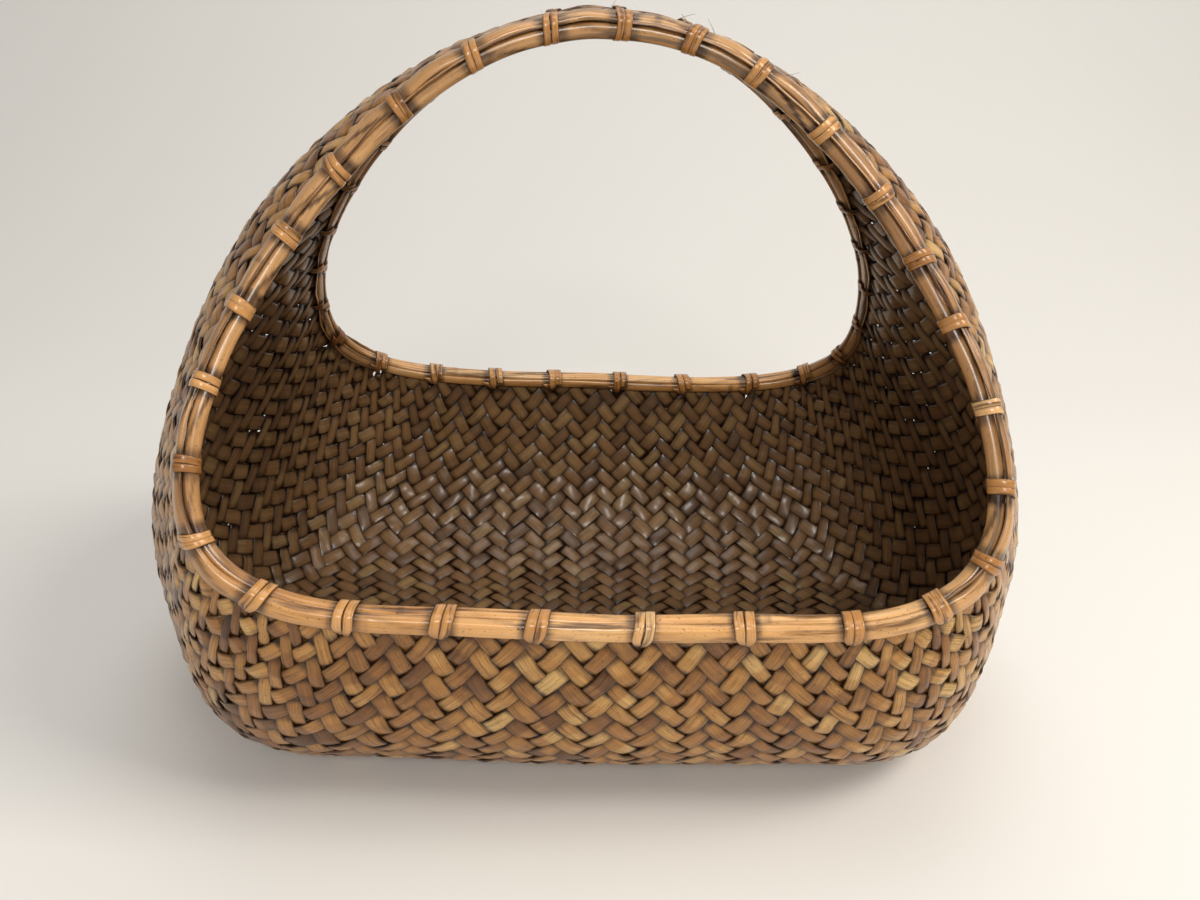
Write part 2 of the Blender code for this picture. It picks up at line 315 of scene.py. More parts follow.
@dataclass
class BasketForm:
    """Smooth form of the wall and the rims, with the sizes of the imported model."""

    body_half_width: float = 0.241
    body_height: float = 0.361
    wall_thickness: float = 0.0044
    floor_press: float = 0.005
    floor_ease: float = 0.0015
    rest_cut: float = 0.0008
    rim_half_width: float = 0.173
    rim_height: float = 0.358
    lip_height: float = 0.123
    lip_half_depth: float = 0.141
    handle_half_depth: float = 0.028
    straight_edge: float = 0.009
    bowl_exponent: float = 3.17
    arc_end: float = math.radians(62)
    bowl_end_share: float = 0.22
    arc_start_share: float = 0.47
    tangent_step_share: float = 0.001
    rim_width: LoopCurve = LoopCurve(
        (0.000, 0.364, 0.740, 0.994, 1.000, 0.884, 0.676, 0.353, 0.000), -1)
    rim_rise: LoopCurve = LoopCurve(
        (0.000, 0.002, 0.021, 0.136, 0.349, 0.540, 0.745, 0.936, 1.000))
    rim_depth: LoopCurve = LoopCurve(
        (1.000, 0.982, 0.982, 0.876, 0.637, 0.381, 0.177, 0.062, 0.000))
    body_width: LoopCurve = LoopCurve(
        (0.000, 0.309, 0.627, 0.876, 1.000, 0.888, 0.674, 0.344, 0.000), -1)
    body_rise: LoopCurve = LoopCurve(
        (0.000, 0.000, 0.000, 0.003, 0.226, 0.526, 0.760, 0.937, 1.000))

    @property
    def rest_height(self) -> float:
        """Height of the ground above the origin of the curves."""
        pressed = float(soft_floor(np.array(-self.floor_press), self.floor_ease))
        return pressed - self.wall_thickness / 2 + self.rest_cut

    def rim_middle(self, rounds: np.ndarray) -> np.ndarray:
        """Find the middle of the front rim's bundle.

        Args:
            rounds: Shares of the loop.

        Returns:
            The point at each share.
        """
        reach = self.lip_half_depth - self.handle_half_depth
        depth = self.handle_half_depth + reach * self.rim_depth.at(rounds)
        rise = self.rim_height - self.lip_height
        height = self.lip_height + rise * self.rim_rise.at(rounds)
        return np.stack((self.rim_half_width * self.rim_width.at(rounds), -depth, height), -1)

    def body_middle(self, rounds: np.ndarray) -> np.ndarray:
        """Find the middle line of the wall, halfway between the rims.

        Args:
            rounds: Shares of the loop.

        Returns:
            The point at each share.
        """
        rise = self.body_height + self.floor_press
        height = rise * self.body_rise.at(rounds) - self.floor_press
        width = self.body_half_width * self.body_width.at(rounds)
        return np.stack((width, np.zeros_like(width), height), -1)

    def section(self, rounds: np.ndarray, edges: np.ndarray, bends: np.ndarray) -> np.ndarray:
        """Bend the wall between its middle line and its edge.

        Args:
            rounds: Shares of the loop.
            edges: Point of the edge at each share.
            bends: Shares of the bend, from 0 at the middle line to 1 at the edge.

        Returns:
            Points by share of the loop and share of the bend.
        """
        half = 1 - np.abs(1 - 2 * np.mod(rounds, 1.0))
        blend = smooth_step(self.bowl_end_share, self.arc_start_share, half)[:, None]
        power = 2 / self.bowl_exponent
        bowl, arc = bends * math.pi / 2, bends * self.arc_end
        bowl_out = np.sin(bowl) ** power
        bowl_up = 1 - np.maximum(np.cos(bowl), 0.0) ** power
        arc_out = np.sin(arc) / math.sin(self.arc_end)
        arc_up = (1 - np.cos(arc)) / (1 - math.cos(self.arc_end))
        out = bowl_out + (arc_out - bowl_out) * blend
        up = bowl_up + (arc_up - bowl_up) * blend
        middle = self.body_middle(rounds)
        points = middle[:, None] + (edges - middle)[:, None] * up[..., None]
        points[..., 1] = edges[:, None, 1] * out
        return points

    def rim_frames(self, rounds: np.ndarray) -> tuple[np.ndarray, ...]:
        """Find the middle of the front rim and its directions.

        Args:
            rounds: Shares of the loop.

        Returns:
            At each share the middle, the way along the rim, the way out of the wall and
            the way up its edge.
        """
        step = self.tangent_step_share
        middle = self.rim_middle(rounds)
        along = unit(self.rim_middle(rounds + step) - self.rim_middle(rounds - step))
        edgeward = middle - self.section(rounds, middle, np.array([1 - step]))[:, 0]
        edgeward = unit(edgeward - along * (edgeward * along).sum(-1, keepdims=True))
        return middle, along, np.cross(along, edgeward), edgeward

    def wall_sections(self, rounds: np.ndarray, bends: np.ndarray) -> np.ndarray:
        """Lay out the front half of the wall's middle surface.

        Args:
            rounds: Shares of the loop.
            bends: Shares of the bend.

        Returns:
            World points by share of the loop and place on the section, the edge last.
        """
        middle, _, _, edgeward = self.rim_frames(rounds)
        points = self.section(rounds, middle - self.straight_edge * edgeward, bends)
        points[..., 2] = soft_floor(points[..., 2], self.floor_ease)
        points = np.concatenate((points, middle[:, None]), axis=1)
        points[..., 2] -= self.rest_height
        return points


@dataclass
class RimPath:
    """One rim as a path: places are a run along it, a distance across the wall and one up."""

    form: BasketForm
    end: End
    samples: int = 1440
    runs: np.ndarray = field(init=False)
    rings: np.ndarray = field(init=False)

    def __post_init__(self) -> None:
        """Measure the rim."""
        rounds = np.arange(self.samples + 1) / self.samples
        middle, _, outward, edgeward = self.form.rim_frames(rounds)
        self.rings = np.concatenate((middle, outward, edgeward), axis=1)
        self.runs = travelled(middle)

    @property
    def length(self) -> float:
        """Length of the whole rim."""
        return float(self.runs[-1])

    def place(self, run: np.ndarray, across: np.ndarray, up: np.ndarray) -> np.ndarray:
        """Find world points of places on the rim.

        Args:
            run: Length along the rim from the middle of the lip towards +X.
            across: Distance out of the wall's middle.
            up: Distance beyond the wall's edge.

        Returns:
            Array of points, in the shape of the three inputs.
        """
        run, across, up = np.broadcast_arrays(run, across, up)
        flat = np.mod(run, self.length)
        ring = np.stack([np.interp(flat, self.runs, column) for column in self.rings.T], -1)
        points = (ring[..., 0:3] + ring[..., 3:6] * across[..., None]
                  + ring[..., 6:9] * up[..., None])
        points[..., 1] *= self.end.side
        points[..., 2] -= self.form.rest_height
        return points


@dataclass(frozen=True)
class Grain:
    """Noise that runs along a strand, with the real sizes of what it shows."""

    length: float
    width: float
    detail: float
    breakup: float = 0.55

    def add(self, tree: bpy.types.NodeTree, place: bpy.types.NodeSocket) -> bpy.types.NodeSocket:
        """Add the noise to a material.

        Args:
            tree: Node tree of the material.
            place: Place on the strand: along it, across it and its seed.

        Returns:
            The noise, from 0 to 1.
        """
        scale = (1 / self.length, 1 / self.width, 1)
        placed = add_node(tree, "ShaderNodeMapping", {"Vector": place, "Scale": scale})
        return add_node(tree, "ShaderNodeTexNoise", {
            "Vector": placed.outputs[0], "Scale": 1.0, "Detail": self.detail,
            "Roughness": self.breakup}).outputs["Fac"]


@dataclass(frozen=True)
class CaneFinish:
    """Varnished split rattan: a hard glossy skin over straight fibres, with stain and painted shade
    in the creases.

    The fibres show as fine streaks along the strand, darker streaks follow its cracks and specks
    come from handling. One dark colour is brown stain together with painted shade, laid where one
    strand passes under another, along edges and creases, at the slots and on the inside. A lighter
    colour is a little dust that dulls the handle, and on the inside it is also painted light.
    """

    name: str
    tones: tuple[str, ...]
    # Colour of stain and painted shade.
    stain_and_shade: str
    speck: str
    roughness: float
    coat: float
    # Colour of dust, which on the inside of the weave is also painted light.
    dust_and_painted_light: str = "917A62"
    fibre: Grain = Grain(0.016, 0.0005, 3)
    fibre_span: tuple[float, float] = (0.32, 0.70)
    fibre_share: float = 0.42
    fibre_gain: float = 1.12
    blotch: Grain = Grain(0.030, 0.030, 3)
    blotch_span: tuple[float, float] = (0.30, 0.70)
    blotch_weight: float = 0.55
    stain_range: tuple[float, float] = (0.55, 1.35)
    streak: Grain = Grain(0.026, 0.0022, 4)
    streak_span: tuple[float, float] = (0.54, 0.66)
    streak_share: float = 0.42
    dot: Grain = Grain(0.0016, 0.0010, 1)
    dot_span: tuple[float, float] = (0.66, 0.78)
    dot_share: float = 0.75
    gloss_span: tuple[float, float] = (0.3, 0.7)
    matt_gain: float = 0.12
    gloss_gain: float = 0.06
    bump_strength: float = 0.6
    bump_depth: float = 0.00018
    refraction: float = 1.5
    coat_roughness: float = 0.18
    specular_level: float = 0.32

    def build(self) -> bpy.types.Material:
        """Make the material.

        Returns:
            The material, which reads the attributes grain, stain_and_shade, dust_and_painted_light
            and tone of its piece.
        """
        material = bpy.data.materials.new(self.name)
        material.use_nodes = True
        tree = material.node_tree
        shader = tree.nodes["Principled BSDF"]
        place = self.attribute(tree, "grain", "Vector")
        fibres = self.fibre.add(tree, place)
        blotch = self.blotch.add(tree, place)
        streaks = self.streak.add(tree, place)
        dots = self.dot.add(tree, place)
        shade = self.ease(tree, fibres, self.fibre_span, (1 - self.fibre_share, self.fibre_gain))
        colour = add_node(tree, "ShaderNodeMix", {
            "Factor": 1.0, "A": self.base_colour(tree, blotch), "B": shade},
            data_type="RGBA", blend_type="MULTIPLY")
        # Stain and painted shade, made uneven by the blotches.
        uneven = self.ease(tree, blotch, self.blotch_span, self.stain_range)
        stain_and_shade_amount = add_node(tree, "ShaderNodeMath", {
            0: self.attribute(tree, "stain_and_shade"), 1: uneven},
            operation="MULTIPLY", use_clamp=True).outputs[0]
        # Specks, then dust with painted light on the inside, then stain with painted shade.
        for share, hex_code in (
                (self.ease(tree, streaks, self.streak_span, (0.0, self.streak_share)), self.speck),
                (self.ease(tree, dots, self.dot_span, (0.0, self.dot_share)), self.speck),
                (self.attribute(tree, "dust_and_painted_light"), self.dust_and_painted_light),
                (stain_and_shade_amount, self.stain_and_shade)):
            colour = add_node(tree, "ShaderNodeMix", {
                "Factor": share, "A": colour.outputs["Result"], "B": linear(hex_code)},
                data_type="RGBA")
        tree.links.new(colour.outputs["Result"], shader.inputs["Base Color"])
        rough = self.ease(tree, fibres, self.gloss_span,
                          (self.roughness + self.matt_gain, self.roughness - self.gloss_gain))
        tree.links.new(rough, shader.inputs["Roughness"])
        bump = add_node(tree, "ShaderNodeBump", {
            "Strength": self.bump_strength, "Distance": self.bump_depth, "Height": fibres})
        tree.links.new(bump.outputs[0], shader.inputs["Normal"])
        shader.inputs["IOR"].default_value = self.refraction
        shader.inputs["Coat Weight"].default_value = self.coat
        shader.inputs["Coat Roughness"].default_value = self.coat_roughness
        shader.inputs["Specular IOR Level"].default_value = self.specular_level
        return material

    def attribute(self, tree: bpy.types.NodeTree, name: str,
                  output: str = "Fac") -> bpy.types.NodeSocket:
        """Read an attribute of the piece."""
        return add_node(tree, "ShaderNodeAttribute", attribute_name=name).outputs[output]

    def ease(self, tree: bpy.types.NodeTree, value: bpy.types.NodeSocket,
             span: tuple[float, float], result: tuple[float, float]) -> bpy.types.NodeSocket:
        """Take a value from one range to another, held at both ends.

        Args:
            tree: Node tree of the material.
            value: Value to take.
            span: Range that it comes from.
            result: What the ends of the range become.

        Returns:
            The new value.
        """
        return add_node(tree, "ShaderNodeMapRange", {
            "Value": value, "From Min": span[0], "From Max": span[1],
            "To Min": result[0], "To Max": result[1]}).outputs[0]

    def base_colour(self, tree: bpy.types.NodeTree,
                    blotch: bpy.types.NodeSocket) -> bpy.types.NodeSocket:
        """Choose among the tones by the piece's own tone and its blotches.

        Args:
            tree: Node tree of the material.
            blotch: Noise of the blotches.

        Returns:
            The colour.
        """
        shifted = add_node(tree, "ShaderNodeMath", {
            0: blotch, 1: self.blotch_weight, 2: self.attribute(tree, "tone")},
            operation="MULTIPLY_ADD").outputs[0]
        centred = add_node(tree, "ShaderNodeMath", {0: shifted, 1: self.blotch_weight / 2},
                           operation="SUBTRACT").outputs[0]
        node = add_node(tree, "ShaderNodeValToRGB", {0: centred})
        stops, last = node.color_ramp.elements, len(self.tones) - 1
        for number in range(1, last):
            stops.new(number / last)
        for stop, hex_code in zip(stops, self.tones):
            stop.color = linear(hex_code)
        return node.outputs[0]


# Each finish's third colour is stain and painted shade in the creases.
WOVEN_CANE = CaneFinish(
    "woven_split_rattan", ("563312", "94602B", "C48B46", "E4B771"), "261104", "3A1E08", 0.34, 0.30)
RIM_CANE = CaneFinish(
    "polished_split_cane", ("7C4A24", "BC8348", "E2AA6A", "F5CB92"), "2A1307", "4A2A12", 0.24, 0.50,
    fibre=Grain(0.045, 0.0007, 3), blotch=Grain(0.035, 0.035, 3), fibre_share=0.20,
    streak=Grain(0.060, 0.0040, 4), streak_share=0.80)
LASHING_CANE = CaneFinish(
    "flat_lashing_cane", ("744521", "B67C41", "DBA264", "F0C48C"), "2A1307", "452711", 0.28, 0.45,
    fibre=Grain(0.020, 0.0006, 3), fibre_share=0.26, streak=Grain(0.026, 0.0030, 4),
    streak_share=0.78)


@dataclass
class StripMesh:
    """Mesh of one piece, gathered from closed strips that are each a grid rolled up."""

    name: str
    weld_distance: float = 0.000001
    bm: bmesh.types.BMesh = field(default_factory=bmesh.new)
    seam: list[bmesh.types.BMVert] = field(default_factory=list)

    def __post_init__(self) -> None:
        """Add the attributes that the finishes read."""
        layers = self.bm.verts.layers
        self.grain = layers.float_vector.new("grain")
        self.stain_and_shade, self.dust_and_painted_light, self.tone = (
            layers.float.new(name) for name in ("stain_and_shade", "dust_and_painted_light", "tone"))

    def add(self, points: np.ndarray, grain: np.ndarray, stain_and_shade: np.ndarray, tone: np.ndarray,
            dust_and_painted_light: np.ndarray | None = None, closed: bool = False) -> None:
        """Roll a grid up into one strip.

        Args:
            points: World points by ring and place round the section.
            grain: Length along the strip, place across it and a seed, for each point.
            stain_and_shade: Share of stain and painted shade at each point.
            tone: Tone at each point.
            dust_and_painted_light: Share of dust, with painted light on the inside, at each point,
                none by default.
            closed: Whether the strip closes on itself lengthwise.
        """
        rings, sides = points.shape[:2]
        dust_and_painted_light = np.zeros((rings, sides)) if dust_and_painted_light is None else dust_and_painted_light
        rows = rings if closed else rings - 1
        grid = bmesh.ops.create_grid(self.bm, x_segments=sides, y_segments=rows, size=1.0)
        for vert in grid["verts"]:
            side = round((vert.co.x + 1) / 2 * sides)
            row = round((vert.co.y + 1) / 2 * rows)
            if side in (0, sides) or (closed and row in (0, rows)):
                self.seam.append(vert)
            ring, side = row % rings, side % sides
            vert.co = points[ring, side]
            vert[self.grain] = grain[ring, side]
            vert[self.stain_and_shade] = stain_and_shade[ring, side]
            vert[self.dust_and_painted_light] = dust_and_painted_light[ring, side]
            vert[self.tone] = tone[ring, side]

    def finish(self, material: bpy.types.Material, slot: str, *nodes: str) -> bpy.types.Object:
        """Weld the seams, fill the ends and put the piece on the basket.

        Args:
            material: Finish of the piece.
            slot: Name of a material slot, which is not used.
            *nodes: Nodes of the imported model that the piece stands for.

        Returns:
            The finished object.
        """
        bmesh.ops.remove_doubles(self.bm, verts=self.seam, dist=self.weld_distance)
        open_edges = [edge for edge in self.bm.edges if edge.is_boundary]
        if open_edges:
            bmesh.ops.holes_fill(self.bm, edges=open_edges)
        bmesh.ops.recalc_face_normals(self.bm, faces=self.bm.faces)
        piece = add_mesh(self.name, self.bm, material)
        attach(piece, BODY)
        if nodes:
            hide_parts(*nodes)
        log.info("%s: %d faces", self.name, len(piece.data.polygons))
        return piece


@dataclass
class RimPlan:
    """Plan of one rim: where its lashings sit, and the sizes that its canes share."""

    path: RimPath
    seed: int
    clearance: float = 0.0003
    outer_depth: float = 0.0042
    outer_half_height: float = 0.0045
    outer_drop: float = 0.0002
    inner_depth: float = 0.0030
    inner_half_height: float = 0.0033
    inner_drop: float = 0.0010
    edge_height: float = 0.0052
    handle_depth_share: float = 0.62
    handle_shares: tuple[float, float] = (0.13, 0.19)
    slot_depth: float = 0.0068
    place_shares: tuple[float, ...] = (
        0.020, 0.065, 0.112, 0.151, 0.181, 0.214, 0.250, 0.290, 0.323,
        0.357, 0.395, 0.433, 0.464, 0.496, 0.527, 0.5625, 0.601, 0.639,
        0.675, 0.713, 0.749, 0.785, 0.817, 0.853, 0.892, 0.933, 0.974)

    @property
    def title(self) -> str:
        """Name of the rim's end."""
        return self.path.end.title

    @property
    def wall_half(self) -> float:
        """Half the thickness of the wall."""
        return self.path.form.wall_thickness / 2

    @property
    def flat_side(self) -> float:
        """Distance of a split cane's flat side from the wall's middle."""
        return self.wall_half + self.clearance

    @property
    def stops(self) -> np.ndarray:
        """Lengths along the rim at which the lashings sit."""
        return np.array(self.place_shares) * self.path.length

    def spans(self, runs: np.ndarray) -> tuple[np.ndarray, np.ndarray]:
        """Find the span between two lashings that each place is in.

        Args:
            runs: Lengths along the rim.

        Returns:
            Number of the span, and share of the way along it.
        """
        stops = self.stops
        number = np.searchsorted(stops, np.mod(runs, self.path.length)) % len(stops)
        start = stops[number - 1]
        length = np.mod(stops[number] - start, self.path.length)
        return number, np.mod(runs - start, self.path.length) / length

    def on_handle(self, runs: np.ndarray | float) -> np.ndarray:
        """How far up the sides a place is: 0 along the lip, 1 from the shoulders up."""
        share = np.mod(runs / self.path.length, 1.0)
        return smooth_step(*self.handle_shares, np.minimum(share, 1 - share))

    def slimming(self, runs: np.ndarray | float) -> np.ndarray:
        """Share of their full depth that the canes keep."""
        return 1 - (1 - self.handle_depth_share) * self.on_handle(runs)

    def slots(self) -> np.ndarray:
        """Places in the weave where the lashings pass through it."""
        return self.path.place(self.stops, 0.0, -self.slot_depth)


@dataclass
class SplitCanes:
    """The three split canes of one rim, each laid right round it."""

    plan: RimPlan
    edge_half_width: float = 0.0035
    edge_shift: float = -0.0015
    edge_foot_half_width: float = 0.0020
    edge_middle: float = 0.0026
    edge_overhang: float = 0.12 * math.pi
    edge_points: int = 13
    round_points: int = 12
    flat_shares: tuple[float, ...] = (0.6, 0.0, -0.6)
    squareness: float = 2.6
    ring_spacing: float = 0.0016
    widest_bulge: float = 0.0016
    bulge_exponent: float = 1.6
    lip_bulge_share: float = 0.25
    girth_wander: float = 0.035
    girth_wave_share: float = 5 / 12
    first_node: float = 0.09
    node_spacing: float = 0.21
    node_shift: float = 0.03
    node_swelling: float = 0.045
    node_reach: float = 0.0022
    lift: float = 0.00025
    lifts_round: int = 9
    most_lift_phase: float = 6.0
    # Beside the lashings and along the low edge, against the weave, the canes darken with stain and
    # painted shade.
    lashed_reach: tuple[float, float] = (0.0046, 0.0088)
    lashed_stain_and_shade: float = 0.80
    low_edge: tuple[float, float] = (-0.0034, -0.0052)
    low_stain_and_shade: float = 0.6
    node_line_place: float = 0.0007
    node_line_width: float = 0.0006
    node_stain: float = 0.5
    patch_slant: float = 4.0
    patch_length: float = 0.050
    patch_span: tuple[float, float] = (0.45, 1.05)
    patch_stain: float = 0.30
    handle_patch_stain: float = 0.45
    most_stain_and_shade: float = 0.9
    tone: float = 0.62
    tone_wander: float = 0.16
    tone_wave_share: float = 0.5
    handle_darkening: float = 0.14
    handle_dust: float = 0.30
    grain_step: float = 3.7
    seed_step: int = 10

    def section(self, cane: Cane) -> np.ndarray:
        """Section of one of the canes.

        Args:
            cane: Which cane it is.

        Returns:
            Places across the wall and up its edge, going round the section.
        """
        plan = self.plan
        if cane is Cane.EDGE:
            return self.edge_section()
        if cane is Cane.OUTER:
            return self.half_round(plan.outer_depth, plan.outer_half_height, plan.outer_drop, 1)
        return self.half_round(plan.inner_depth, plan.inner_half_height, plan.inner_drop, -1)

    def half_round(self, depth: float, half_height: float, drop: float, sign: int) -> np.ndarray:
        """Section of a split cane with its flat side to the wall.

        Args:
            depth: Reach from the flat side to the crown.
            half_height: Half the height of the flat side.
            drop: How far its middle lies below the wall's edge.
            sign: 1 outside the wall, -1 inside it.

        Returns:
            Places across and up, going round the section.
        """
        angles = np.linspace(-math.pi / 2, math.pi / 2, self.round_points)
        power = 2 / self.squareness
        crown = depth * np.maximum(np.cos(angles), 0.0) ** power
        across = np.concatenate((crown, np.zeros(len(self.flat_shares))))
        up = half_height * np.concatenate((signed_power(np.sin(angles), power), self.flat_shares))
        return np.stack((sign * (self.plan.flat_side + across), up - drop), -1)

    def edge_section(self) -> np.ndarray:
        """Section of the cane over the edge: a narrow foot in the gap and a wide round cap.

        Returns:
            Places across and up, going round the section.
        """
        angles = np.linspace(-self.edge_overhang, math.pi + self.edge_overhang, self.edge_points)
        rise = self.plan.edge_height - self.edge_middle
        cap = np.stack((self.edge_shift + self.edge_half_width * np.cos(angles),
                        self.edge_middle + rise * np.sin(angles)), -1)
        foot = np.array(((-self.edge_foot_half_width, self.plan.clearance),
                         (self.edge_foot_half_width, self.plan.clearance)))
        return np.concatenate((cap, foot))

    def bulge(self, rng: np.random.Generator, runs: np.ndarray, cane: Cane) -> np.ndarray:
        """How far a cane springs away from the wall between its lashings.

        Args:
            rng: Source of its unevenness.
            runs: Lengths along the rim.
            cane: Which cane it is.

        Returns:
            The distance at each run, outwards if positive.
        """
        number, share = self.plan.spans(runs)
        amounts = rng.uniform(0.0, 1.0, len(self.plan.place_shares)) ** self.bulge_exponent
        bulge = amounts[number] * self.widest_bulge * np.sin(math.pi * share) ** 2
        freedom = self.lip_bulge_share + (1 - self.lip_bulge_share) * self.plan.on_handle(runs)
        return bulge * cane.bulge_share * freedom

    def lashed(self, runs: np.ndarray) -> np.ndarray:
        """Share of stain and painted shade on the canes beside the lashings.

        Args:
            runs: Lengths along the rim.

        Returns:
            The share at each run, 1 right beside a lashing.
        """
        length = self.plan.path.length
        apart = np.mod(runs[:, None] - self.plan.stops + length / 2, length) - length / 2
        return 1 - smooth_step(*self.lashed_reach, np.abs(apart).min(axis=1))

    def add_cane(self, cane: Cane, material: bpy.types.Material) -> None:
        """Lay one cane right round the rim, with its joint under the first lashing.

        Args:
            cane: Which cane it is.
            material: Finish of the cane.
        """
        plan, section = self.plan, self.section(cane)
        rng = np.random.default_rng(plan.seed * self.seed_step + cane.number)
        length = plan.path.length
        count = round(length / self.ring_spacing)
        runs = plan.stops[0] + np.arange(count) * length / count
        share = runs / length
        girth = 1 + self.girth_wander * slow_waves(rng, share, self.girth_wave_share)
        nodes = np.arange(self.first_node, length, self.node_spacing)
        nodes = nodes + rng.uniform(-self.node_shift, self.node_shift)
        apart = np.abs(runs[:, None] - nodes).min(axis=1)
        girth = girth + self.node_swelling * np.exp(-(apart / self.node_reach) ** 2)
        bulge = self.bulge(rng, runs, cane)
        phase = rng.uniform(0, self.most_lift_phase)
        lift = self.lift * np.sin(TURN * share * self.lifts_round + phase)
        middle = section.mean(axis=0)
        places = middle + (section - middle) * girth[:, None, None]
        across, up = places[..., 0], places[..., 1] + lift[:, None]
        if cane is not Cane.EDGE:
            flat = plan.flat_side * np.sign(middle[0])
            across = flat + (across - flat) * plan.slimming(runs)[:, None]
        points = plan.path.place(runs[:, None], across + bulge[:, None], up)
        round_section = travelled(section)
        grain = grain_of(runs, round_section, cane.number + plan.seed * self.grain_step)
        stain_and_shade, tone, dust_and_painted_light = self.wear(rng, runs, round_section, up, apart)
        mesh = StripMesh(f"{plan.title}_{cane.title}_split_cane")
        mesh.add(points, grain, stain_and_shade, tone, dust_and_painted_light, closed=True)
        mesh.finish(material, "rim_cane", f"{plan.title}_{cane.title}_cane")

    def wear(self, rng: np.random.Generator, runs: np.ndarray, round_section: np.ndarray,
             up: np.ndarray, apart: np.ndarray) -> tuple[np.ndarray, ...]:
        """Age a cane: stain and painted shade beside the lashings and along the low edge, stain at
        the nodes, patches and handling.

        Args:
            rng: Source of its unevenness.
            runs: Length along the rim of each ring.
            round_section: Length round the section of each of its points.
            up: Distance of each point beyond the wall's edge.
            apart: Distance of each ring from the nearest node of the cane.

        Returns:
            Stain with painted shade, tone and dust at each point.
        """
        handle = self.plan.on_handle(runs)[:, None]
        # Stain and painted shade beside the lashings and in the crease along the low edge.
        beside = self.lashed_stain_and_shade * self.lashed(runs)[:, None]
        low = self.low_stain_and_shade * smooth_step(*self.low_edge, up)
        line = np.exp(-((apart - self.node_line_place) / self.node_line_width) ** 2)
        drift = runs[:, None] + self.patch_slant * round_section
        patches = smooth_step(*self.patch_span, slow_waves(rng, drift, self.patch_length))
        patches = patches * (self.patch_stain + self.handle_patch_stain * handle)
        stain_and_shade = beside + low + self.node_stain * line[:, None] + patches
        tone = self.tone + self.tone_wander * slow_waves(
            rng, runs / self.plan.path.length, self.tone_wave_share)[:, None]
        tone = tone - self.handle_darkening * handle + np.zeros_like(up)
        dust_and_painted_light = self.handle_dust * handle + np.zeros_like(up)
        return np.clip(stain_and_shade, 0.0, self.most_stain_and_shade), tone, dust_and_painted_light

    def build(self, material: bpy.types.Material) -> None:
        """Build the three canes."""
        for cane in Cane:
            self.add_cane(cane, material)


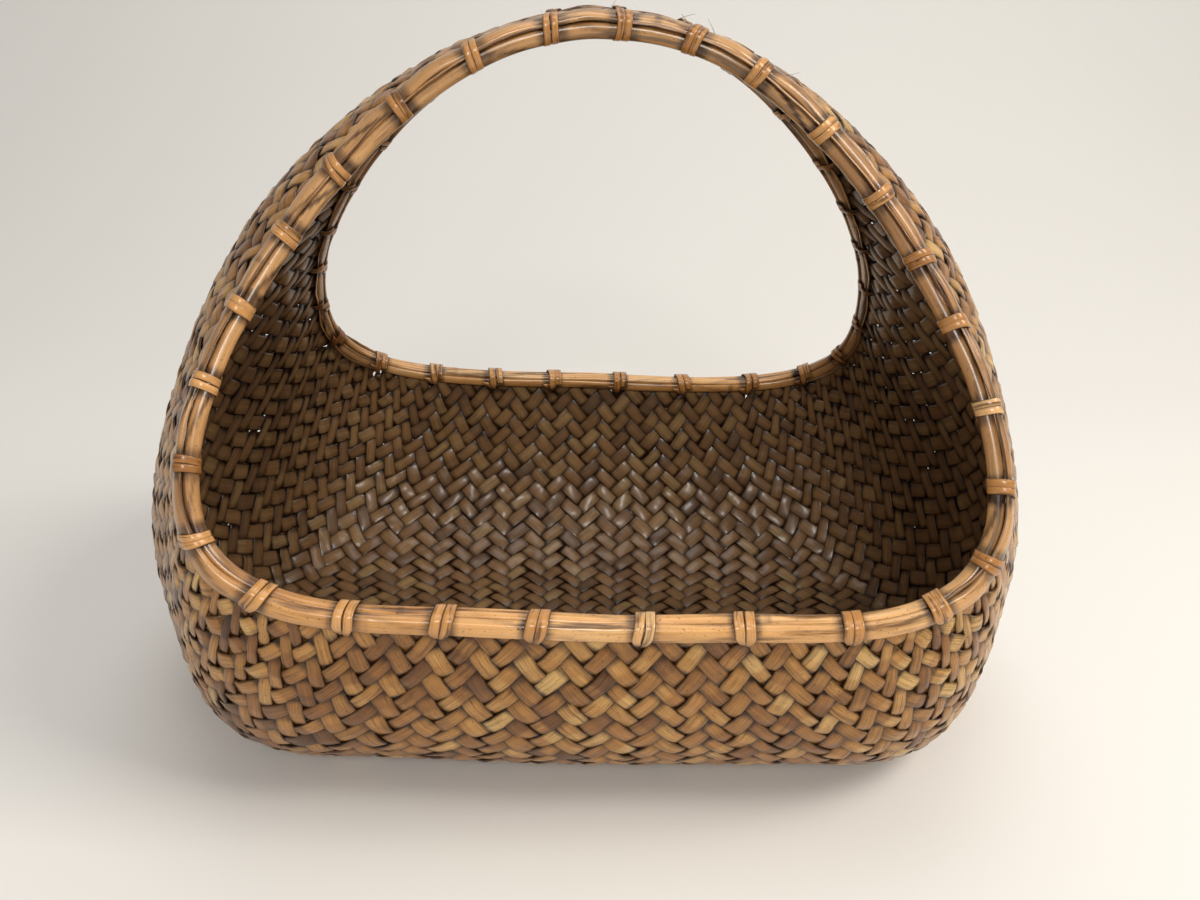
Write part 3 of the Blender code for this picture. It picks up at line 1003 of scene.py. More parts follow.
@dataclass
class FlatLashings:
    """Lashings of one rim: two turns of flat cane each, wound through the weave."""

    plan: RimPlan
    turns: int = 2
    turn_steps: int = 44
    width: float = 0.0050
    thickness: float = 0.0008
    pitch: float = 0.0047
    handle_size_share: float = 0.74
    width_range: tuple[float, float] = (0.90, 1.04)
    pitch_range: tuple[float, float] = (0.93, 1.06)
    width_wander: float = 0.06
    width_wave: float = 0.9
    sway: float = 0.00022
    sway_wave: float = 1.3
    slant: float = 0.0012
    corner: float = 0.0024
    low_corner_share: float = 0.8
    top_corner_share: float = 1.25
    dip: float = 0.0018
    hole_share: float = 1.3
    roundings: int = 2
    rounding_share: float = 0.25
    gather_heights: tuple[float, float] = (-0.0005, -0.0062)
    gathered_pitch: float = 0.60
    gathered_width: float = 0.44
    overlap: float = 0.00022
    gathered_overlap: float = 0.0007
    section_points: int = 10
    across_exponent: float = 0.6
    up_exponent: float = 0.8
    # Stain and painted shade darken the edges of the turns and their low part, which dives into the
    # weave.
    edge_span: tuple[float, float] = (0.70, 1.0)
    edge_stain_and_shade: float = 0.85
    low_stain_and_shade: float = 0.65
    most_stain_and_shade: float = 0.9
    tone: float = 0.56
    tone_spread: float = 0.17
    tone_range: tuple[float, float] = (0.2, 0.9)
    grain_shift: float = 0.01
    grain_step: float = 1.37
    grain_start: float = 0.71
    seed_step: int = 1000

    def turn_outline(self, run: float) -> np.ndarray:
        """Closed outline of a turn round the bundle, from inside, down.

        Args:
            run: Length along the rim at which the lashing sits.

        Returns:
            Places across and up, going round the bundle.
        """
        plan, c = self.plan, self.corner
        stand_off = plan.clearance + self.thickness / 2
        slim = float(plan.slimming(run))
        outer = plan.flat_side + plan.outer_depth * slim + stand_off
        inner = -(plan.flat_side + plan.inner_depth * slim + stand_off)
        bottom = -(plan.outer_half_height + plan.outer_drop + stand_off)
        top = plan.edge_height + stand_off
        hole = bottom - self.dip
        shoulder = self.top_corner_share * c
        outline = np.array(((inner, (bottom + top) / 2), (inner, bottom + c),
                            (-plan.wall_half, hole), (self.hole_share * plan.wall_half, hole),
                            (outer, bottom + self.low_corner_share * c), (outer, top - c),
                            (outer - shoulder, top), (inner + shoulder, top), (inner, top - c)))
        near, far = 1 - self.rounding_share, self.rounding_share
        for _ in range(self.roundings):
            after = np.roll(outline, -1, axis=0)
            outline = np.stack((outline * near + after * far, outline * far + after * near), 1)
            outline = outline.reshape(-1, 2)
        return outline

    def add_lashing(self, number: int, material: bpy.types.Material, nodes: list[str]) -> None:
        """Wind the turns of one lashing round the bundle.

        Args:
            number: Number of the lashing, counted from the middle of the lip to +X.
            material: Finish of the lashing.
            nodes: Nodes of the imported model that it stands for, none for a hidden one.
        """
        plan = self.plan
        rng = np.random.default_rng(plan.seed * self.seed_step + number)
        run = float(plan.stops[number])
        outline = self.turn_outline(run)
        closed = np.concatenate((outline, outline[:1]))
        lengths = travelled(closed)
        shares = np.linspace(0.0, self.turns, self.turns * self.turn_steps + 1)
        wound = np.mod(shares, 1.0) * lengths[-1]
        flat = np.stack([np.interp(wound, lengths, column) for column in closed.T], -1)
        ahead = np.roll(flat, -1, axis=0) - np.roll(flat, 1, axis=0)
        ahead[0], ahead[-1] = flat[1] - flat[0], flat[-1] - flat[-2]
        outward = unit(np.stack((ahead[:, 1], -ahead[:, 0]), -1))
        low = smooth_step(*self.gather_heights, flat[:, 1])
        size = 1 - (1 - self.handle_size_share) * float(plan.on_handle(run))
        pitch = self.pitch * size * rng.uniform(*self.pitch_range)
        slant = self.slant * rng.uniform(-1.0, 1.0)
        drift = (shares / self.turns - 0.5) * pitch * self.turns
        drift = drift * (1 - self.gathered_pitch * low) + slant * flat[:, 1] / plan.edge_height
        drift = drift + self.sway * slow_waves(rng, shares, self.sway_wave)
        width = self.width * size * rng.uniform(*self.width_range)
        width = width * (1 - self.gathered_width * low)
        width = width * (1 + self.width_wander * slow_waves(rng, shares, self.width_wave))
        c, h = flat_section(self.section_points, self.across_exponent, self.up_exponent)
        raised = (self.overlap + self.gathered_overlap * low) * shares / self.turns
        lift = h * self.thickness / 2 + raised[:, None]
        beside = c * width[:, None] / 2
        points = plan.path.place(run + drift[:, None] + beside,
                                 flat[:, :1] + outward[:, :1] * lift,
                                 flat[:, 1:] + outward[:, 1:] * lift)
        grain = grain_of(shares * lengths[-1], beside + self.grain_shift,
                         number * self.grain_step + plan.seed * self.grain_start)
        # Stain and painted shade on the edges and where the turns dive into the weave.
        edge = self.edge_stain_and_shade * smooth_step(*self.edge_span, np.abs(c))
        stain_and_shade = np.clip(edge + self.low_stain_and_shade * low[:, None], 0.0, self.most_stain_and_shade)
        tone = np.clip(rng.normal(self.tone, self.tone_spread), *self.tone_range)
        mesh = StripMesh(f"{plan.title}_flat_lashing_{number + 1:02d}")
        mesh.add(points, grain, stain_and_shade, np.full_like(stain_and_shade, tone))
        mesh.finish(material, "lashing_cane", *nodes)

    def build(self, material: bpy.types.Material, known: dict[str, object]) -> None:
        """Wind all the lashings of the rim.

        Args:
            material: Finish of the lashings.
            known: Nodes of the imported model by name.
        """
        for number in range(len(self.plan.place_shares)):
            node = f"{self.plan.title}_lashing_{number + 1:02d}"
            self.add_lashing(number, material, [node] if node in known else [])


@dataclass
class FillingSplints:
    """Thin splints that fill one rim's bundle on the sides and the handle."""

    plan: RimPlan
    width: float = 0.0024
    thickness: float = 0.0009
    steps: int = 22
    tuck: float = 0.0012
    spring: float = 0.0011
    spring_range: tuple[float, float] = (0.5, 1.3)
    bow_exponents: tuple[float, float] = (0.8, 1.6)
    wander: float = 0.0003
    wander_wave: float = 0.7
    lean_out: float = 0.0007
    lean_out_range: tuple[float, float] = (-0.6, 1.0)
    broken_share: float = 0.22
    broken_range: tuple[float, float] = (0.4, 0.8)
    stray: float = 0.0016
    stray_range: tuple[float, float] = (0.2, 1.0)
    stray_start: float = -0.6
    tip_share: float = 0.35
    tip_taper: float = 2.5
    width_range: tuple[float, float] = (0.6, 1.1)
    end_narrowing: float = 0.25
    most_tilt: float = 0.5
    section_points: int = 8
    across_exponent: float = 0.7
    # Stain and painted shade darken the edges and the ends tucked under the lashings.
    edge_span: tuple[float, float] = (0.65, 1.0)
    edge_stain_and_shade: float = 0.75
    end_stain_and_shade: float = 0.4
    most_stain_and_shade: float = 0.9
    tone: float = 0.42
    tone_spread: float = 0.16
    tone_range: tuple[float, float] = (0.05, 0.8)
    dust_and_painted_light: float = 0.3
    most_seed: float = 90.0
    seed_step: int = 77
    turned_chance: float = 0.5
    lip_slimming: float = 0.99
    low_rise: float = 0.0010
    low_share: float = 0.4
    low_spring_share: float = -1.7
    high_drop: float = 0.0002
    high_share: float = 0.2
    high_spring_share: float = 0.8
    high_chance: float = 0.75
    inside_rise: float = 0.0006
    inside_share: float = 0.5
    inside_spring_share: float = -1.4

    def add_splint(self, mesh: StripMesh, rng: np.random.Generator, span: int,
                   across: float, up: float, spring_share: float) -> None:
        """Lay one thin splint beside the canes, from under a lashing to under the next.

        Args:
            mesh: Mesh that takes it.
            rng: Source of its own unevenness.
            span: Number of the lashing that it starts under.
            across: Its distance out of the wall's middle at the lashings.
            up: Its distance beyond the wall's edge there.
            spring_share: Share of the spring between them, down if negative.
        """
        plan, stops = self.plan, self.plan.stops
        length = np.mod(stops[(span + 1) % len(stops)] - stops[span], plan.path.length)
        broken = rng.random() < self.broken_share
        end = rng.uniform(*self.broken_range) if broken else 1.0
        share = np.linspace(0.0, end, self.steps)
        if rng.random() < self.turned_chance:
            share = 1 - share
        bow = np.sin(math.pi * share) ** rng.uniform(*self.bow_exponents)
        wander = self.wander * slow_waves(rng, share, self.wander_wave) * bow
        heights = (up + self.spring * spring_share * rng.uniform(*self.spring_range) * bow
                   + wander)
        out = across + self.lean_out * rng.uniform(*self.lean_out_range) * bow
        taper = np.ones(self.steps)
        if broken:
            free = smooth_step(0.0, 1.0, np.linspace(self.stray_start, 1.0, self.steps))
            out = out + self.stray * rng.uniform(*self.stray_range) * free
            to_tip = np.linspace(1.0, 0.0, self.steps)
            taper = np.minimum(1.0, self.tip_share + self.tip_taper * to_tip)
        width = self.width * rng.uniform(*self.width_range) * taper
        width = width * (1 - self.end_narrowing + self.end_narrowing * bow)
        c, h = flat_section(self.section_points, self.across_exponent)
        tilt = rng.uniform(-self.most_tilt, self.most_tilt)
        beside = c * width[:, None] / 2
        runs = stops[span] - self.tuck + share * (length + 2 * self.tuck)
        points = plan.path.place(
            runs[:, None], out[:, None] + h * self.thickness / 2 + math.sin(tilt) * beside,
            heights[:, None] + math.cos(tilt) * beside)
        grain = grain_of(runs, beside, rng.uniform(0, self.most_seed))
        # Stain and painted shade on the edges and on the ends under the lashings.
        edge = self.edge_stain_and_shade * smooth_step(*self.edge_span, np.abs(c))
        stain_and_shade = np.clip(edge + self.end_stain_and_shade * (1 - bow)[:, None] ** 3, 0.0, self.most_stain_and_shade)
        tone = np.clip(rng.normal(self.tone, self.tone_spread), *self.tone_range)
        mesh.add(points, grain, stain_and_shade, np.full_like(stain_and_shade, tone), np.full_like(stain_and_shade, self.dust_and_painted_light))

    def build(self, material: bpy.types.Material) -> None:
        """Lay the splints of the whole rim, up to three between two lashings.

        Args:
            material: Finish of the canes, which they share.
        """
        plan = self.plan
        rng = np.random.default_rng(plan.seed * self.seed_step)
        mesh = StripMesh(f"{plan.title}_filling_splints")
        low = self.low_rise - plan.outer_half_height
        high = plan.outer_half_height - self.high_drop
        inside = self.inside_rise - plan.inner_half_height - plan.inner_drop
        for span, (start, stop) in enumerate(zip(plan.stops, plan.stops[1:])):
            slim = float(plan.slimming((start + stop) / 2))
            if slim > self.lip_slimming:
                continue
            outer, inner = plan.outer_depth * slim, plan.inner_depth * slim
            self.add_splint(mesh, rng, span, plan.flat_side + self.low_share * outer, low,
                            self.low_spring_share)
            if rng.random() < self.high_chance:
                self.add_splint(mesh, rng, span, plan.flat_side + self.high_share * outer, high,
                                self.high_spring_share)
            self.add_splint(mesh, rng, span, -plan.flat_side - self.inside_share * inner, inside,
                            self.inside_spring_share)
        mesh.finish(material, "rim_cane", f"{plan.title}_outer_cane")


@dataclass
class LooseFibres:
    """Fine fibres that stand out of one rim's bundle, as worn split cane has them."""

    plan: RimPlan
    tries: int = 54
    girth: float = 0.00045
    root_share: float = 1.1
    tip_narrowing: float = 0.8
    section_points: int = 5
    steps: int = 9
    longest: float = 0.013
    length_range: tuple[float, float] = (0.35, 1.0)
    lip_chance: float = 0.9
    outer_chance: float = 0.65
    most_curl: float = 0.5
    curl_range: tuple[float, float] = (1.5, 4.0)
    most_slant: float = 0.8
    slant_curl: float = 0.4
    start_depth: float = 0.0012
    outward: float = 0.42
    outward_curl: float = 0.3
    start_rise: float = 0.0008
    droop: float = 0.30
    droop_exponent: float = 1.5
    stain_range: tuple[float, float] = (0.35, 0.8)
    tone: float = 0.3
    grain_step: float = 9.0
    seed_step: int = 131

    def add_fibre(self, mesh: StripMesh, rng: np.random.Generator, run: float) -> None:
        """Let one fibre stand out.

        Args:
            mesh: Mesh that takes it.
            rng: Source of its own shape.
            run: Length along the rim at which it starts.
        """
        plan = self.plan
        sign = 1 if rng.random() < self.outer_chance else -1
        t = np.linspace(0.0, 1.0, self.steps)
        length = self.longest * rng.uniform(*self.length_range)
        curl = rng.uniform(-self.most_curl, self.most_curl)
        curl = curl * np.sin(t * rng.uniform(*self.curl_range))
        slant = rng.uniform(-self.most_slant, self.most_slant)
        runs = run + length * (slant * t + self.slant_curl * curl)
        reach = self.outward * t + self.outward_curl * t * curl
        out = sign * (plan.wall_half + self.start_depth + length * reach)
        up = (self.start_rise - plan.outer_half_height
              - length * self.droop * t ** self.droop_exponent)
        girth = self.girth / 2 * (self.root_share - self.tip_narrowing * t)[:, None]
        c, h = flat_section(self.section_points)
        points = plan.path.place(runs[:, None], out[:, None] + girth * c, up[:, None] + girth * h)
        grain = grain_of(runs, girth * c, run * self.grain_step)
        stain_and_shade = np.full(points.shape[:2], rng.uniform(*self.stain_range))
        mesh.add(points, grain, stain_and_shade, np.full_like(stain_and_shade, self.tone))

    def build(self, material: bpy.types.Material) -> None:
        """Let fibres stand out of the whole bundle, most of them on the handle.

        Args:
            material: Finish of the canes, which they share.
        """
        rng = np.random.default_rng(self.plan.seed * self.seed_step)
        mesh = StripMesh(f"{self.plan.title}_loose_fibres")
        for _ in range(self.tries):
            run = rng.uniform(0.0, 1.0) * self.plan.path.length
            if float(self.plan.on_handle(run)) >= rng.uniform(0.0, self.lip_chance):
                self.add_fibre(mesh, rng, run)
        mesh.finish(material, "rim_cane", f"{self.plan.title}_outer_cane")


@dataclass
class Weave:
    """Herringbone of the wall: strands that lean right and left, each over two, under two.

    A place on the wall is a column, counted round the loop, and a row, counted from the
    middle line to the front rim. Strands cross where both are whole and of one parity.
    """

    form: BasketForm
    slots: np.ndarray
    seed: int = 29
    pieces_per_lean: int = 4
    columns: int = 240
    strand_pitch: float = 0.0083
    least_row: float = 0.0060
    most_row: float = 0.0072
    widest_pitch: float = 0.0094
    least_slack: float = 1e-9
    section_steps: int = 260
    grid_columns: int = 864
    grid_rows: int = 60
    grid_end: float = 1e-6
    evening: int = 14
    evening_share: float = 0.25
    corner_share: float = 0.152
    corner_reach: float = 0.065
    corner_thinning: float = 0.32
    fine_steps: int = 16
    rim_gap_rows: float = 0.06
    least_stretch: float = 1.5
    samples_per_column: int = 4
    rise: float = 0.00135
    rim_rise: float = 0.00112
    rim_rise_shares: tuple[float, float] = (0.02, 0.12)
    rise_spread: float = 0.13
    wave_exponent: float = 0.54
    floats_drawn: int = 400
    sway: float = 0.00045
    sway_columns: float = 14
    roll: float = 0.12
    roll_columns: float = 5
    slot_reach: float = 0.0040
    slot_push: float = 0.0016
    slot_parting: float = 0.001
    slot_narrowing: float = 0.4
    rest_ease: float = 0.0006
    width_share: float = 1.11
    width_range: tuple[float, float] = (0.93, 1.04)
    width_wander: float = 0.05
    width_columns: float = 9
    thickness: float = 0.0020
    thickness_range: tuple[float, float] = (0.9, 1.08)
    section_points: int = 10
    across_exponent: float = 0.54
    up_exponent: float = 0.6
    most_start: float = 3.0
    grain_step: float = 0.83
    lean_grain: float = 50.0
    # Stain and painted shade where a strand tucks under, at its edges, on the inside and at the
    # slots; dust and painted light lift the inside.
    tuck_span: tuple[float, float] = (0.50, 0.92)
    tuck_stain_and_shade: float = 0.95
    edge_span: tuple[float, float] = (0.62, 0.985)
    edge_stain_and_shade: float = 0.90
    inside_stain_and_shade: float = 0.2
    slot_stain_and_shade: float = 0.9
    most_stain_and_shade: float = 0.98
    inside_dust: float = 0.50
    tone: float = 0.57
    tone_spread: float = 0.17
    patch_spread: float = 0.10
    tone_wander: float = 0.05
    tone_columns: float = 20
    tone_range: tuple[float, float] = (0.02, 0.98)
    grid: np.ndarray = field(init=False)
    last_row: np.ndarray = field(init=False)

    def __post_init__(self) -> None:
        """Lay the lattice over the form, the rows as high as keeps the strands' pitch even."""
        rounds = np.arange(self.grid_columns) / self.grid_columns
        bends = np.linspace(0.0, 1.0, self.section_steps)
        points = self.lay_columns(self.form.wall_sections(rounds, bends))
        steps = np.linalg.norm(np.diff(points, axis=1), axis=2)
        ahead = np.roll(points, -1, axis=0) - np.roll(points, 1, axis=0)
        across = unit(np.gradient(points, axis=1) + NEVER_ZERO)
        ahead = ahead - across * (ahead * across).sum(-1, keepdims=True)
        column = np.linalg.norm(ahead, axis=2) * self.grid_columns / 2 / self.columns
        slack = np.maximum(4 * column ** 2 - self.strand_pitch ** 2, self.least_slack)
        row = np.clip(self.strand_pitch * column / np.sqrt(slack), self.least_row, self.most_row)
        counted = np.cumsum(steps * 2 / (row[:, 1:] + row[:, :-1]), axis=1)
        counted = np.concatenate((np.zeros((self.grid_columns, 1)), counted), axis=1)
        self.last_row = counted[:, -1]
        shares = np.arange(self.grid_rows + 1) / self.grid_rows
        front = np.array([
            [np.interp(shares * rows[-1], rows, values) for values in line.T]
            for rows, line in zip(counted, points)]).transpose(0, 2, 1)
        rear = front[:, :0:-1] * np.array((1, -1, 1))
        whole = np.concatenate((rear, front), axis=1)
        round_loop = np.roll(whole, -1, axis=0) - np.roll(whole, 1, axis=0)
        normal = unit(np.cross(round_loop, np.gradient(whole, axis=1)))
        self.grid = np.concatenate((whole, normal), axis=2)

    def lay_columns(self, points: np.ndarray) -> np.ndarray:
        """Lead the columns from the middle line to the rim, square to the rows they cross.

        They start sparser at the corners of the floor, where the wall curves in on all sides,
        and are evened out a little at each row, as a plaiter does, so they don't crowd there.

        Args:
            points: Front half of the wall, by share of the loop and place on the section.

        Returns:
            The points on the columns, as finely spaced as they came.
        """
        count = len(points)
        steps = np.linalg.norm(np.diff(points[:, 0], axis=0, append=points[:1, 0]), axis=1)
        share = (np.cumsum(steps) - steps / 2) / steps.sum()
        to_corner = np.minimum(share, 1 - share) - self.corner_share
        dense = steps * (1 - self.corner_thinning * np.exp(-(to_corner / self.corner_reach) ** 2))
        along = np.concatenate(([0.0], np.cumsum(dense))) / dense.sum()
        places = np.interp(np.arange(self.columns) / self.columns, along, np.arange(count + 1.0))
        fine = np.arange(count) / count
        coarse = np.arange(self.columns + 1) / self.columns
        before = between(points[:, 0], places)
        laid = []
        for line in points.transpose(1, 0, 2):
            ahead = between(line, places + 0.5) - between(line, places - 0.5)
            slip = ((between(line, places) - before) * ahead).sum(-1) / (ahead * ahead).sum(-1)
            places = places - slip
            length = np.linalg.norm(ahead, axis=1)
            for _ in range(self.evening):
                before = between(line, places)
                onward = np.linalg.norm(np.roll(before, -1, axis=0) - before, axis=1)
                unevenness = (onward - np.roll(onward, 1)) / length
                places = places + self.evening_share * unevenness
            before = between(line, places)
            every = np.interp(fine, coarse, np.append(places, places[0] + count))
            laid.append(between(line, every))
        return np.stack(laid, axis=1)

    def grid_place(self, column: np.ndarray) -> tuple[np.ndarray, np.ndarray, np.ndarray]:
        """Find columns on the grid.

        Args:
            column: Columns of the lattice.

        Returns:
            Number of the grid's column before each, the one after, and the share between.
        """
        place = np.mod(column / self.columns, 1.0) * self.grid_columns
        before = np.floor(place).astype(int) % self.grid_columns
        return before, (before + 1) % self.grid_columns, place - np.floor(place)

    def rows_at(self, column: np.ndarray) -> np.ndarray:
        """Number of rows from the middle line to the rim, at columns of the lattice."""
        i, k, t = self.grid_place(column)
        return self.last_row[i] * (1 - t) + self.last_row[k] * t

    def wall_at(self, column: np.ndarray, row: np.ndarray) -> np.ndarray:
        """Find places of the lattice on the wall.

        Args:
            column: Columns of the lattice.
            row: Rows of the lattice, negative on the rear half.

        Returns:
            Point and outward normal at each place, as six coordinates.
        """
        i, k, t = self.grid_place(column)
        t = t[:, None]
        across = (row / self.rows_at(column) + 1) * self.grid_rows
        across = np.clip(across, 0, 2 * self.grid_rows - self.grid_end)
        j = np.floor(across).astype(int)
        s = (across - j)[:, None]
        return ((self.grid[i, j] * (1 - s) + self.grid[i, j + 1] * s) * (1 - t)
                + (self.grid[k, j] * (1 - s) + self.grid[k, j + 1] * s) * t)

    def pitch_at(self, column: np.ndarray, row: np.ndarray, centre: np.ndarray,
                 ahead: np.ndarray) -> np.ndarray:
        """Distance from a strand to the next ones of its leaning.

        Args:
            column: Columns that the strand passes.
            row: Rows that it passes.
            centre: Its middle line on the wall.
            ahead: Its direction there.

        Returns:
            The mean distance to both neighbours at each place.
        """
        apart = np.stack([self.wall_at(column + step, row)[:, :3] - centre for step in (-2, 2)])
        apart = apart - ahead * (apart * ahead).sum(-1, keepdims=True)
        return np.linalg.norm(apart, axis=-1).mean(axis=0)

    def strand_spans(self, number: int) -> list[np.ndarray]:
        """Find the columns that a strand passes, for each stretch of it from rim to rim.

        Args:
            number: Number of the strand round the loop.

        Returns:
            One array of columns for each stretch.
        """
        reach = (math.ceil(self.last_row.max()) + 2) * self.fine_steps
        fine = np.arange(-reach, reach + 1) / self.fine_steps
        column = 2 * number + fine
        inside = np.abs(fine) < self.rows_at(column) - self.rim_gap_rows
        edges = np.flatnonzero(np.diff(inside.astype(int)))
        spans = []
        for start, stop in zip(edges[::2], edges[1::2]):
            length = (stop - start) / self.fine_steps
            if length > self.least_stretch:
                count = round(length * self.samples_per_column)
                spans.append(np.linspace(column[start + 1], column[stop], count + 1))
        return spans

    def slot_gap(self, centre: np.ndarray, cross: np.ndarray) -> tuple[np.ndarray, np.ndarray]:
        """Part the strands where a lashing passes between them.

        Args:
            centre: Middle line of a strand.
            cross: Direction across it.

        Returns:
            Nearness to a slot, from 0 to 1, and the push sideways away from it.
        """
        apart = centre[:, None] - self.slots
        distance = np.linalg.norm(apart, axis=2)
        nearest = distance.argmin(axis=1)
        every = np.arange(len(centre))
        gap = np.exp(-(distance[every, nearest] / self.slot_reach) ** 2)
        beside = (apart[every, nearest] * cross).sum(-1)
        return gap, self.slot_push * gap * np.tanh(beside / self.slot_parting)

    def add_strand(self, mesh: StripMesh, lean: Lean, number: int, column: np.ndarray,
                   rng: np.random.Generator) -> None:
        """Lay one stretch of a strand over and under the others.

        Args:
            mesh: Mesh that takes it.
            lean: Way the strand leans.
            number: Number of the strand.
            column: Columns that it passes.
            rng: Source of its own unevenness.
        """
        row = lean.value * (column - 2 * number)
        wall = self.wall_at(column, row)
        centre, normal = wall[:, :3], wall[:, 3:]
        ahead = unit(np.gradient(centre, axis=0))
        pitch = np.minimum(self.pitch_at(column, row, centre, ahead), self.widest_pitch)
        cross = unit(np.cross(normal, ahead))
        # A float spans two columns, so the wave of over two and under two spans four.
        floats = np.floor((column + 1.5) / 2).astype(int) % self.floats_drawn
        lift = rng.normal(1.0, self.rise_spread, self.floats_drawn)[floats]
        wave = np.cos(TURN * (column - 0.5) / 4)
        to_rim = 1 - np.abs(row) / self.rows_at(column)
        rise = self.rim_rise + (self.rise - self.rim_rise) * smooth_step(
            *self.rim_rise_shares, to_rim)
        height = lean.value * signed_power(wave, self.wave_exponent) * rise * lift
        gap, push = self.slot_gap(centre, cross)
        sway = self.sway * slow_waves(rng, column, self.sway_columns)
        centre = centre + cross * (sway + push)[:, None] + normal * height[:, None]
        ahead = unit(np.gradient(centre, axis=0))
        cross = unit(np.cross(normal, ahead))
        above = np.cross(ahead, cross)
        roll = self.roll * slow_waves(rng, column, self.roll_columns)[:, None]
        flat = cross * np.cos(roll) + above * np.sin(roll)
        above = above * np.cos(roll) - cross * np.sin(roll)
        width = pitch * self.width_share * rng.uniform(*self.width_range)
        width = width * (1 + self.width_wander * slow_waves(rng, column, self.width_columns))
        width = width * (1 - self.slot_narrowing * gap)
        thickness = self.thickness * rng.uniform(*self.thickness_range)
        c, h = flat_section(self.section_points, self.across_exponent, self.up_exponent)
        beside = c * width[:, None] / 2
        points = (centre[:, None] + flat[:, None] * beside[..., None]
                  + above[:, None] * (h * thickness / 2)[:, None])
        points[..., 2] = soft_floor(points[..., 2], self.rest_ease)
        along = travelled(centre) + rng.uniform(0, self.most_start)
        grain = grain_of(along, beside, number * self.grain_step + lean.value * self.lean_grain)
        # Stain and painted shade where the strand tucks under, at its edges, on its inner face and
        # at the slots.
        tuck = smooth_step(*self.tuck_span, 1 - np.abs(wave))[:, None]
        edge = smooth_step(*self.edge_span, np.abs(c))
        stain_and_shade = (self.tuck_stain_and_shade * tuck + self.edge_stain_and_shade * edge + self.inside_stain_and_shade * (h < 0)
                 + self.slot_stain_and_shade * gap[:, None])
        # Dust, and painted light that lifts the shaded inner face.
        dust_and_painted_light = self.inside_dust * (h < 0) + np.zeros_like(stain_and_shade)
        patch = rng.normal(0.0, self.patch_spread, self.floats_drawn)[floats]
        tone = rng.normal(self.tone, self.tone_spread) + patch
        tone = tone + self.tone_wander * slow_waves(rng, column, self.tone_columns)
        tone = np.clip(tone[:, None] + np.zeros_like(stain_and_shade), *self.tone_range)
        mesh.add(points, grain, np.clip(stain_and_shade, 0, self.most_stain_and_shade), tone, dust_and_painted_light)

    def build(self, material: bpy.types.Material) -> None:
        """Build the strands of both leanings, in a few pieces each.

        Args:
            material: Finish of the strands.
        """
        strands = self.columns // 2
        for lean in Lean:
            rng = np.random.default_rng(self.seed + lean.value)
            for part in range(self.pieces_per_lean):
                mesh = StripMesh(f"weave_leaning_{lean.name.lower()}_{part + 1}")
                first = part * strands // self.pieces_per_lean
                last = (part + 1) * strands // self.pieces_per_lean
                for number in range(first, last):
                    for column in self.strand_spans(number):
                        self.add_strand(mesh, lean, number, column, rng)
                mesh.finish(material, "woven_cane", "woven_wall")


@dataclass(frozen=True)
class Lamp:
    """Square lamp: its name, where it hangs, the side of its panel, its watts and colour."""

    name: str
    place: tuple[float, float, float]
    size: float
    power: float
    hex_code: str

    def add(self, aim: Vector) -> None:
        """Hang the lamp.

        Args:
            aim: Point that it looks at.
        """
        data = bpy.data.lights.new(self.name, "AREA")
        data.size, data.energy = self.size, self.power
        data.color = linear(self.hex_code)[:3]
        lamp = add_object(self.name, data)
        lamp.location = self.place
        lamp.rotation_euler = (aim - Vector(self.place)).to_track_quat("-Z", "Y").to_euler()


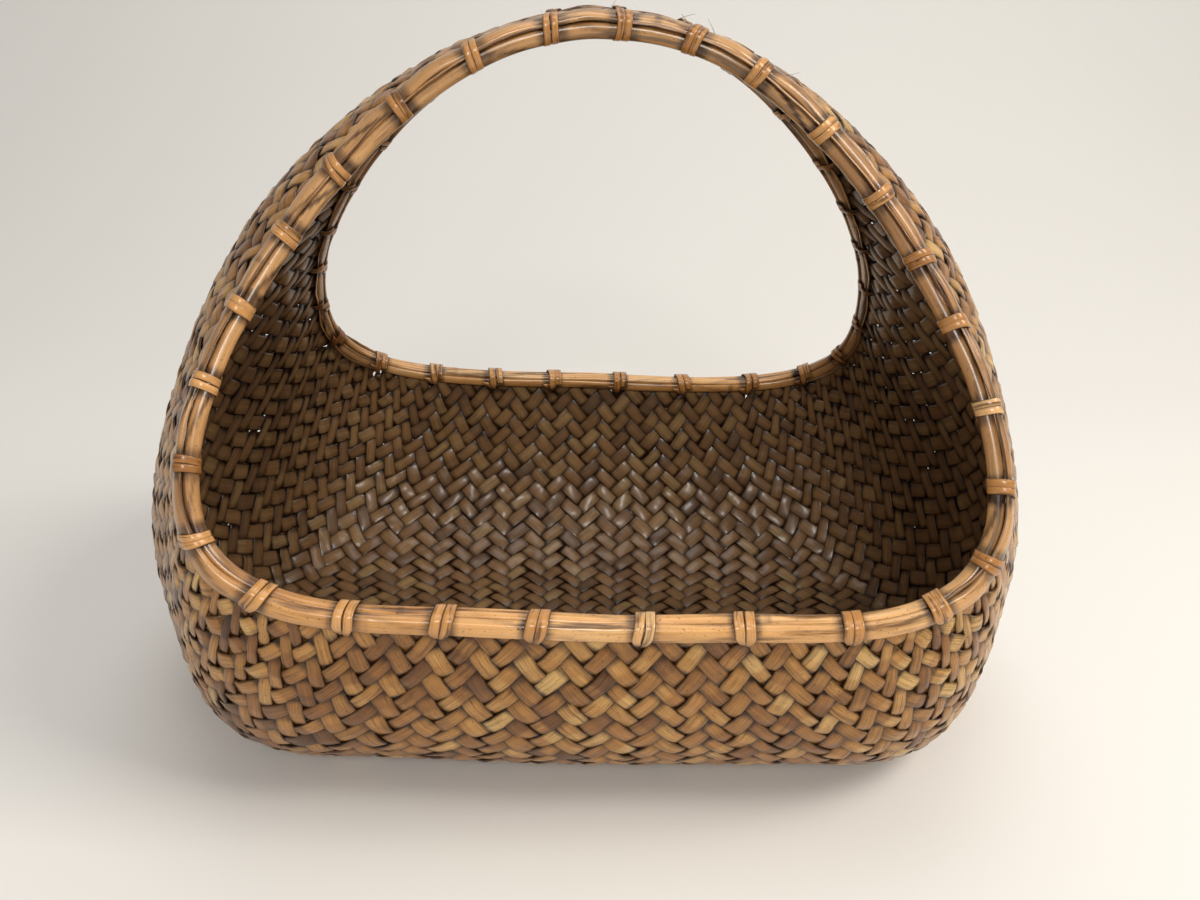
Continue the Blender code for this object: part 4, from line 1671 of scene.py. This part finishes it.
@dataclass
class Studio:
    """Pale floor that runs up into a backdrop, soft lamps and the camera."""

    camera_place: tuple[float, float, float] = (-0.0158, -0.4698, 0.375)
    camera_pitch: float = math.radians(63.455)
    camera_heading: float = math.radians(-2.416)
    camera_roll: float = math.radians(2.814)
    camera_clips: tuple[float, float] = (0.01, 50.0)
    lens: float = 28.0
    sensor: float = 36.0
    floor_size: float = 12.0
    floor_colour: str = "E8E6E3"
    floor_roughness: float = 0.9
    bend_start: float = 0.45
    bend_radius: float = 1.1
    bend_steps: int = 24
    backdrop_height: float = 4.0
    sky_colour: str = "E8E6E2"
    sky_strength: float = 0.40
    aim: tuple[float, float, float] = (0.0, 0.0, 0.15)
    lamps: tuple[Lamp, ...] = (
        Lamp("window", (1.2, -0.4, 1.6), 0.8, 22.0, "FFF9EE"),
        Lamp("fill", (0.0, -1.4, 1.2), 0.4, 10.0, "FFFCF6"),
        Lamp("top", (0.0, 0.3, 2.2), 1.2, 10.0, "FFFFFF"))

    def add_camera(self) -> None:
        """Put the camera where the picture was taken from."""
        data = bpy.data.cameras.new("camera")
        data.lens, data.sensor_width = self.lens, self.sensor
        data.clip_start, data.clip_end = self.camera_clips
        camera = add_object("camera", data)
        turn = Euler((self.camera_pitch, 0.0, self.camera_heading)).to_matrix().to_4x4()
        camera.matrix_world = (Matrix.Translation(self.camera_place) @ turn
                               @ Matrix.Rotation(self.camera_roll, 4, "Z"))
        bpy.context.scene.camera = camera

    def add_floor(self) -> None:
        """Lay the plain pale floor, which bends up into a backdrop behind the basket."""
        angles = np.linspace(0.0, math.pi / 2, self.bend_steps + 1)
        bent = [(self.bend_start + self.bend_radius * math.sin(angle),
                 self.bend_radius * (1 - math.cos(angle))) for angle in angles]
        profile = [(-self.floor_size / 2, 0.0), *bent, (bent[-1][0], self.backdrop_height)]
        bm = bmesh.new()
        bmesh.ops.create_grid(bm, x_segments=1, y_segments=len(profile) - 1, size=1.0)
        for vert in bm.verts:
            row = round((vert.co.y + 1) / 2 * (len(profile) - 1))
            vert.co = (vert.co.x * self.floor_size / 2, *profile[row])
        material = bpy.data.materials.new("matt_paper")
        material.use_nodes = True
        shader = material.node_tree.nodes["Principled BSDF"]
        shader.inputs["Base Color"].default_value = linear(self.floor_colour)
        shader.inputs["Roughness"].default_value = self.floor_roughness
        floor = add_mesh("floor", bm, material)

    def build(self) -> None:
        """Set up the whole studio."""
        self.add_camera()
        self.add_floor()
        for lamp in self.lamps:
            lamp.add(Vector(self.aim))
        world = bpy.data.worlds.new("sky")
        world.use_nodes = True
        backdrop = world.node_tree.nodes["Background"]
        backdrop.inputs["Color"].default_value = linear(self.sky_colour)
        backdrop.inputs["Strength"].default_value = self.sky_strength
        bpy.context.scene.world = world
        bpy.context.scene.view_settings.view_transform = "Standard"


def main() -> None:
    """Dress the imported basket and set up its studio."""
    logging.basicConfig(level=logging.INFO, format="%(name)s: %(message)s")
    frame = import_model()
    Studio().build()
    form = BasketForm()
    plans = [RimPlan(RimPath(form, end), seed) for seed, end in enumerate(End, start=1)]
    Weave(form, np.concatenate([plan.slots() for plan in plans])).build(WOVEN_CANE.build())
    cane, lashing = RIM_CANE.build(), LASHING_CANE.build()
    for plan in plans:
        SplitCanes(plan).build(cane)
        FillingSplints(plan).build(cane)
        LooseFibres(plan).build(cane)
        FlatLashings(plan).build(lashing, frame["nodes"])


if __name__ == "__main__":
    main()
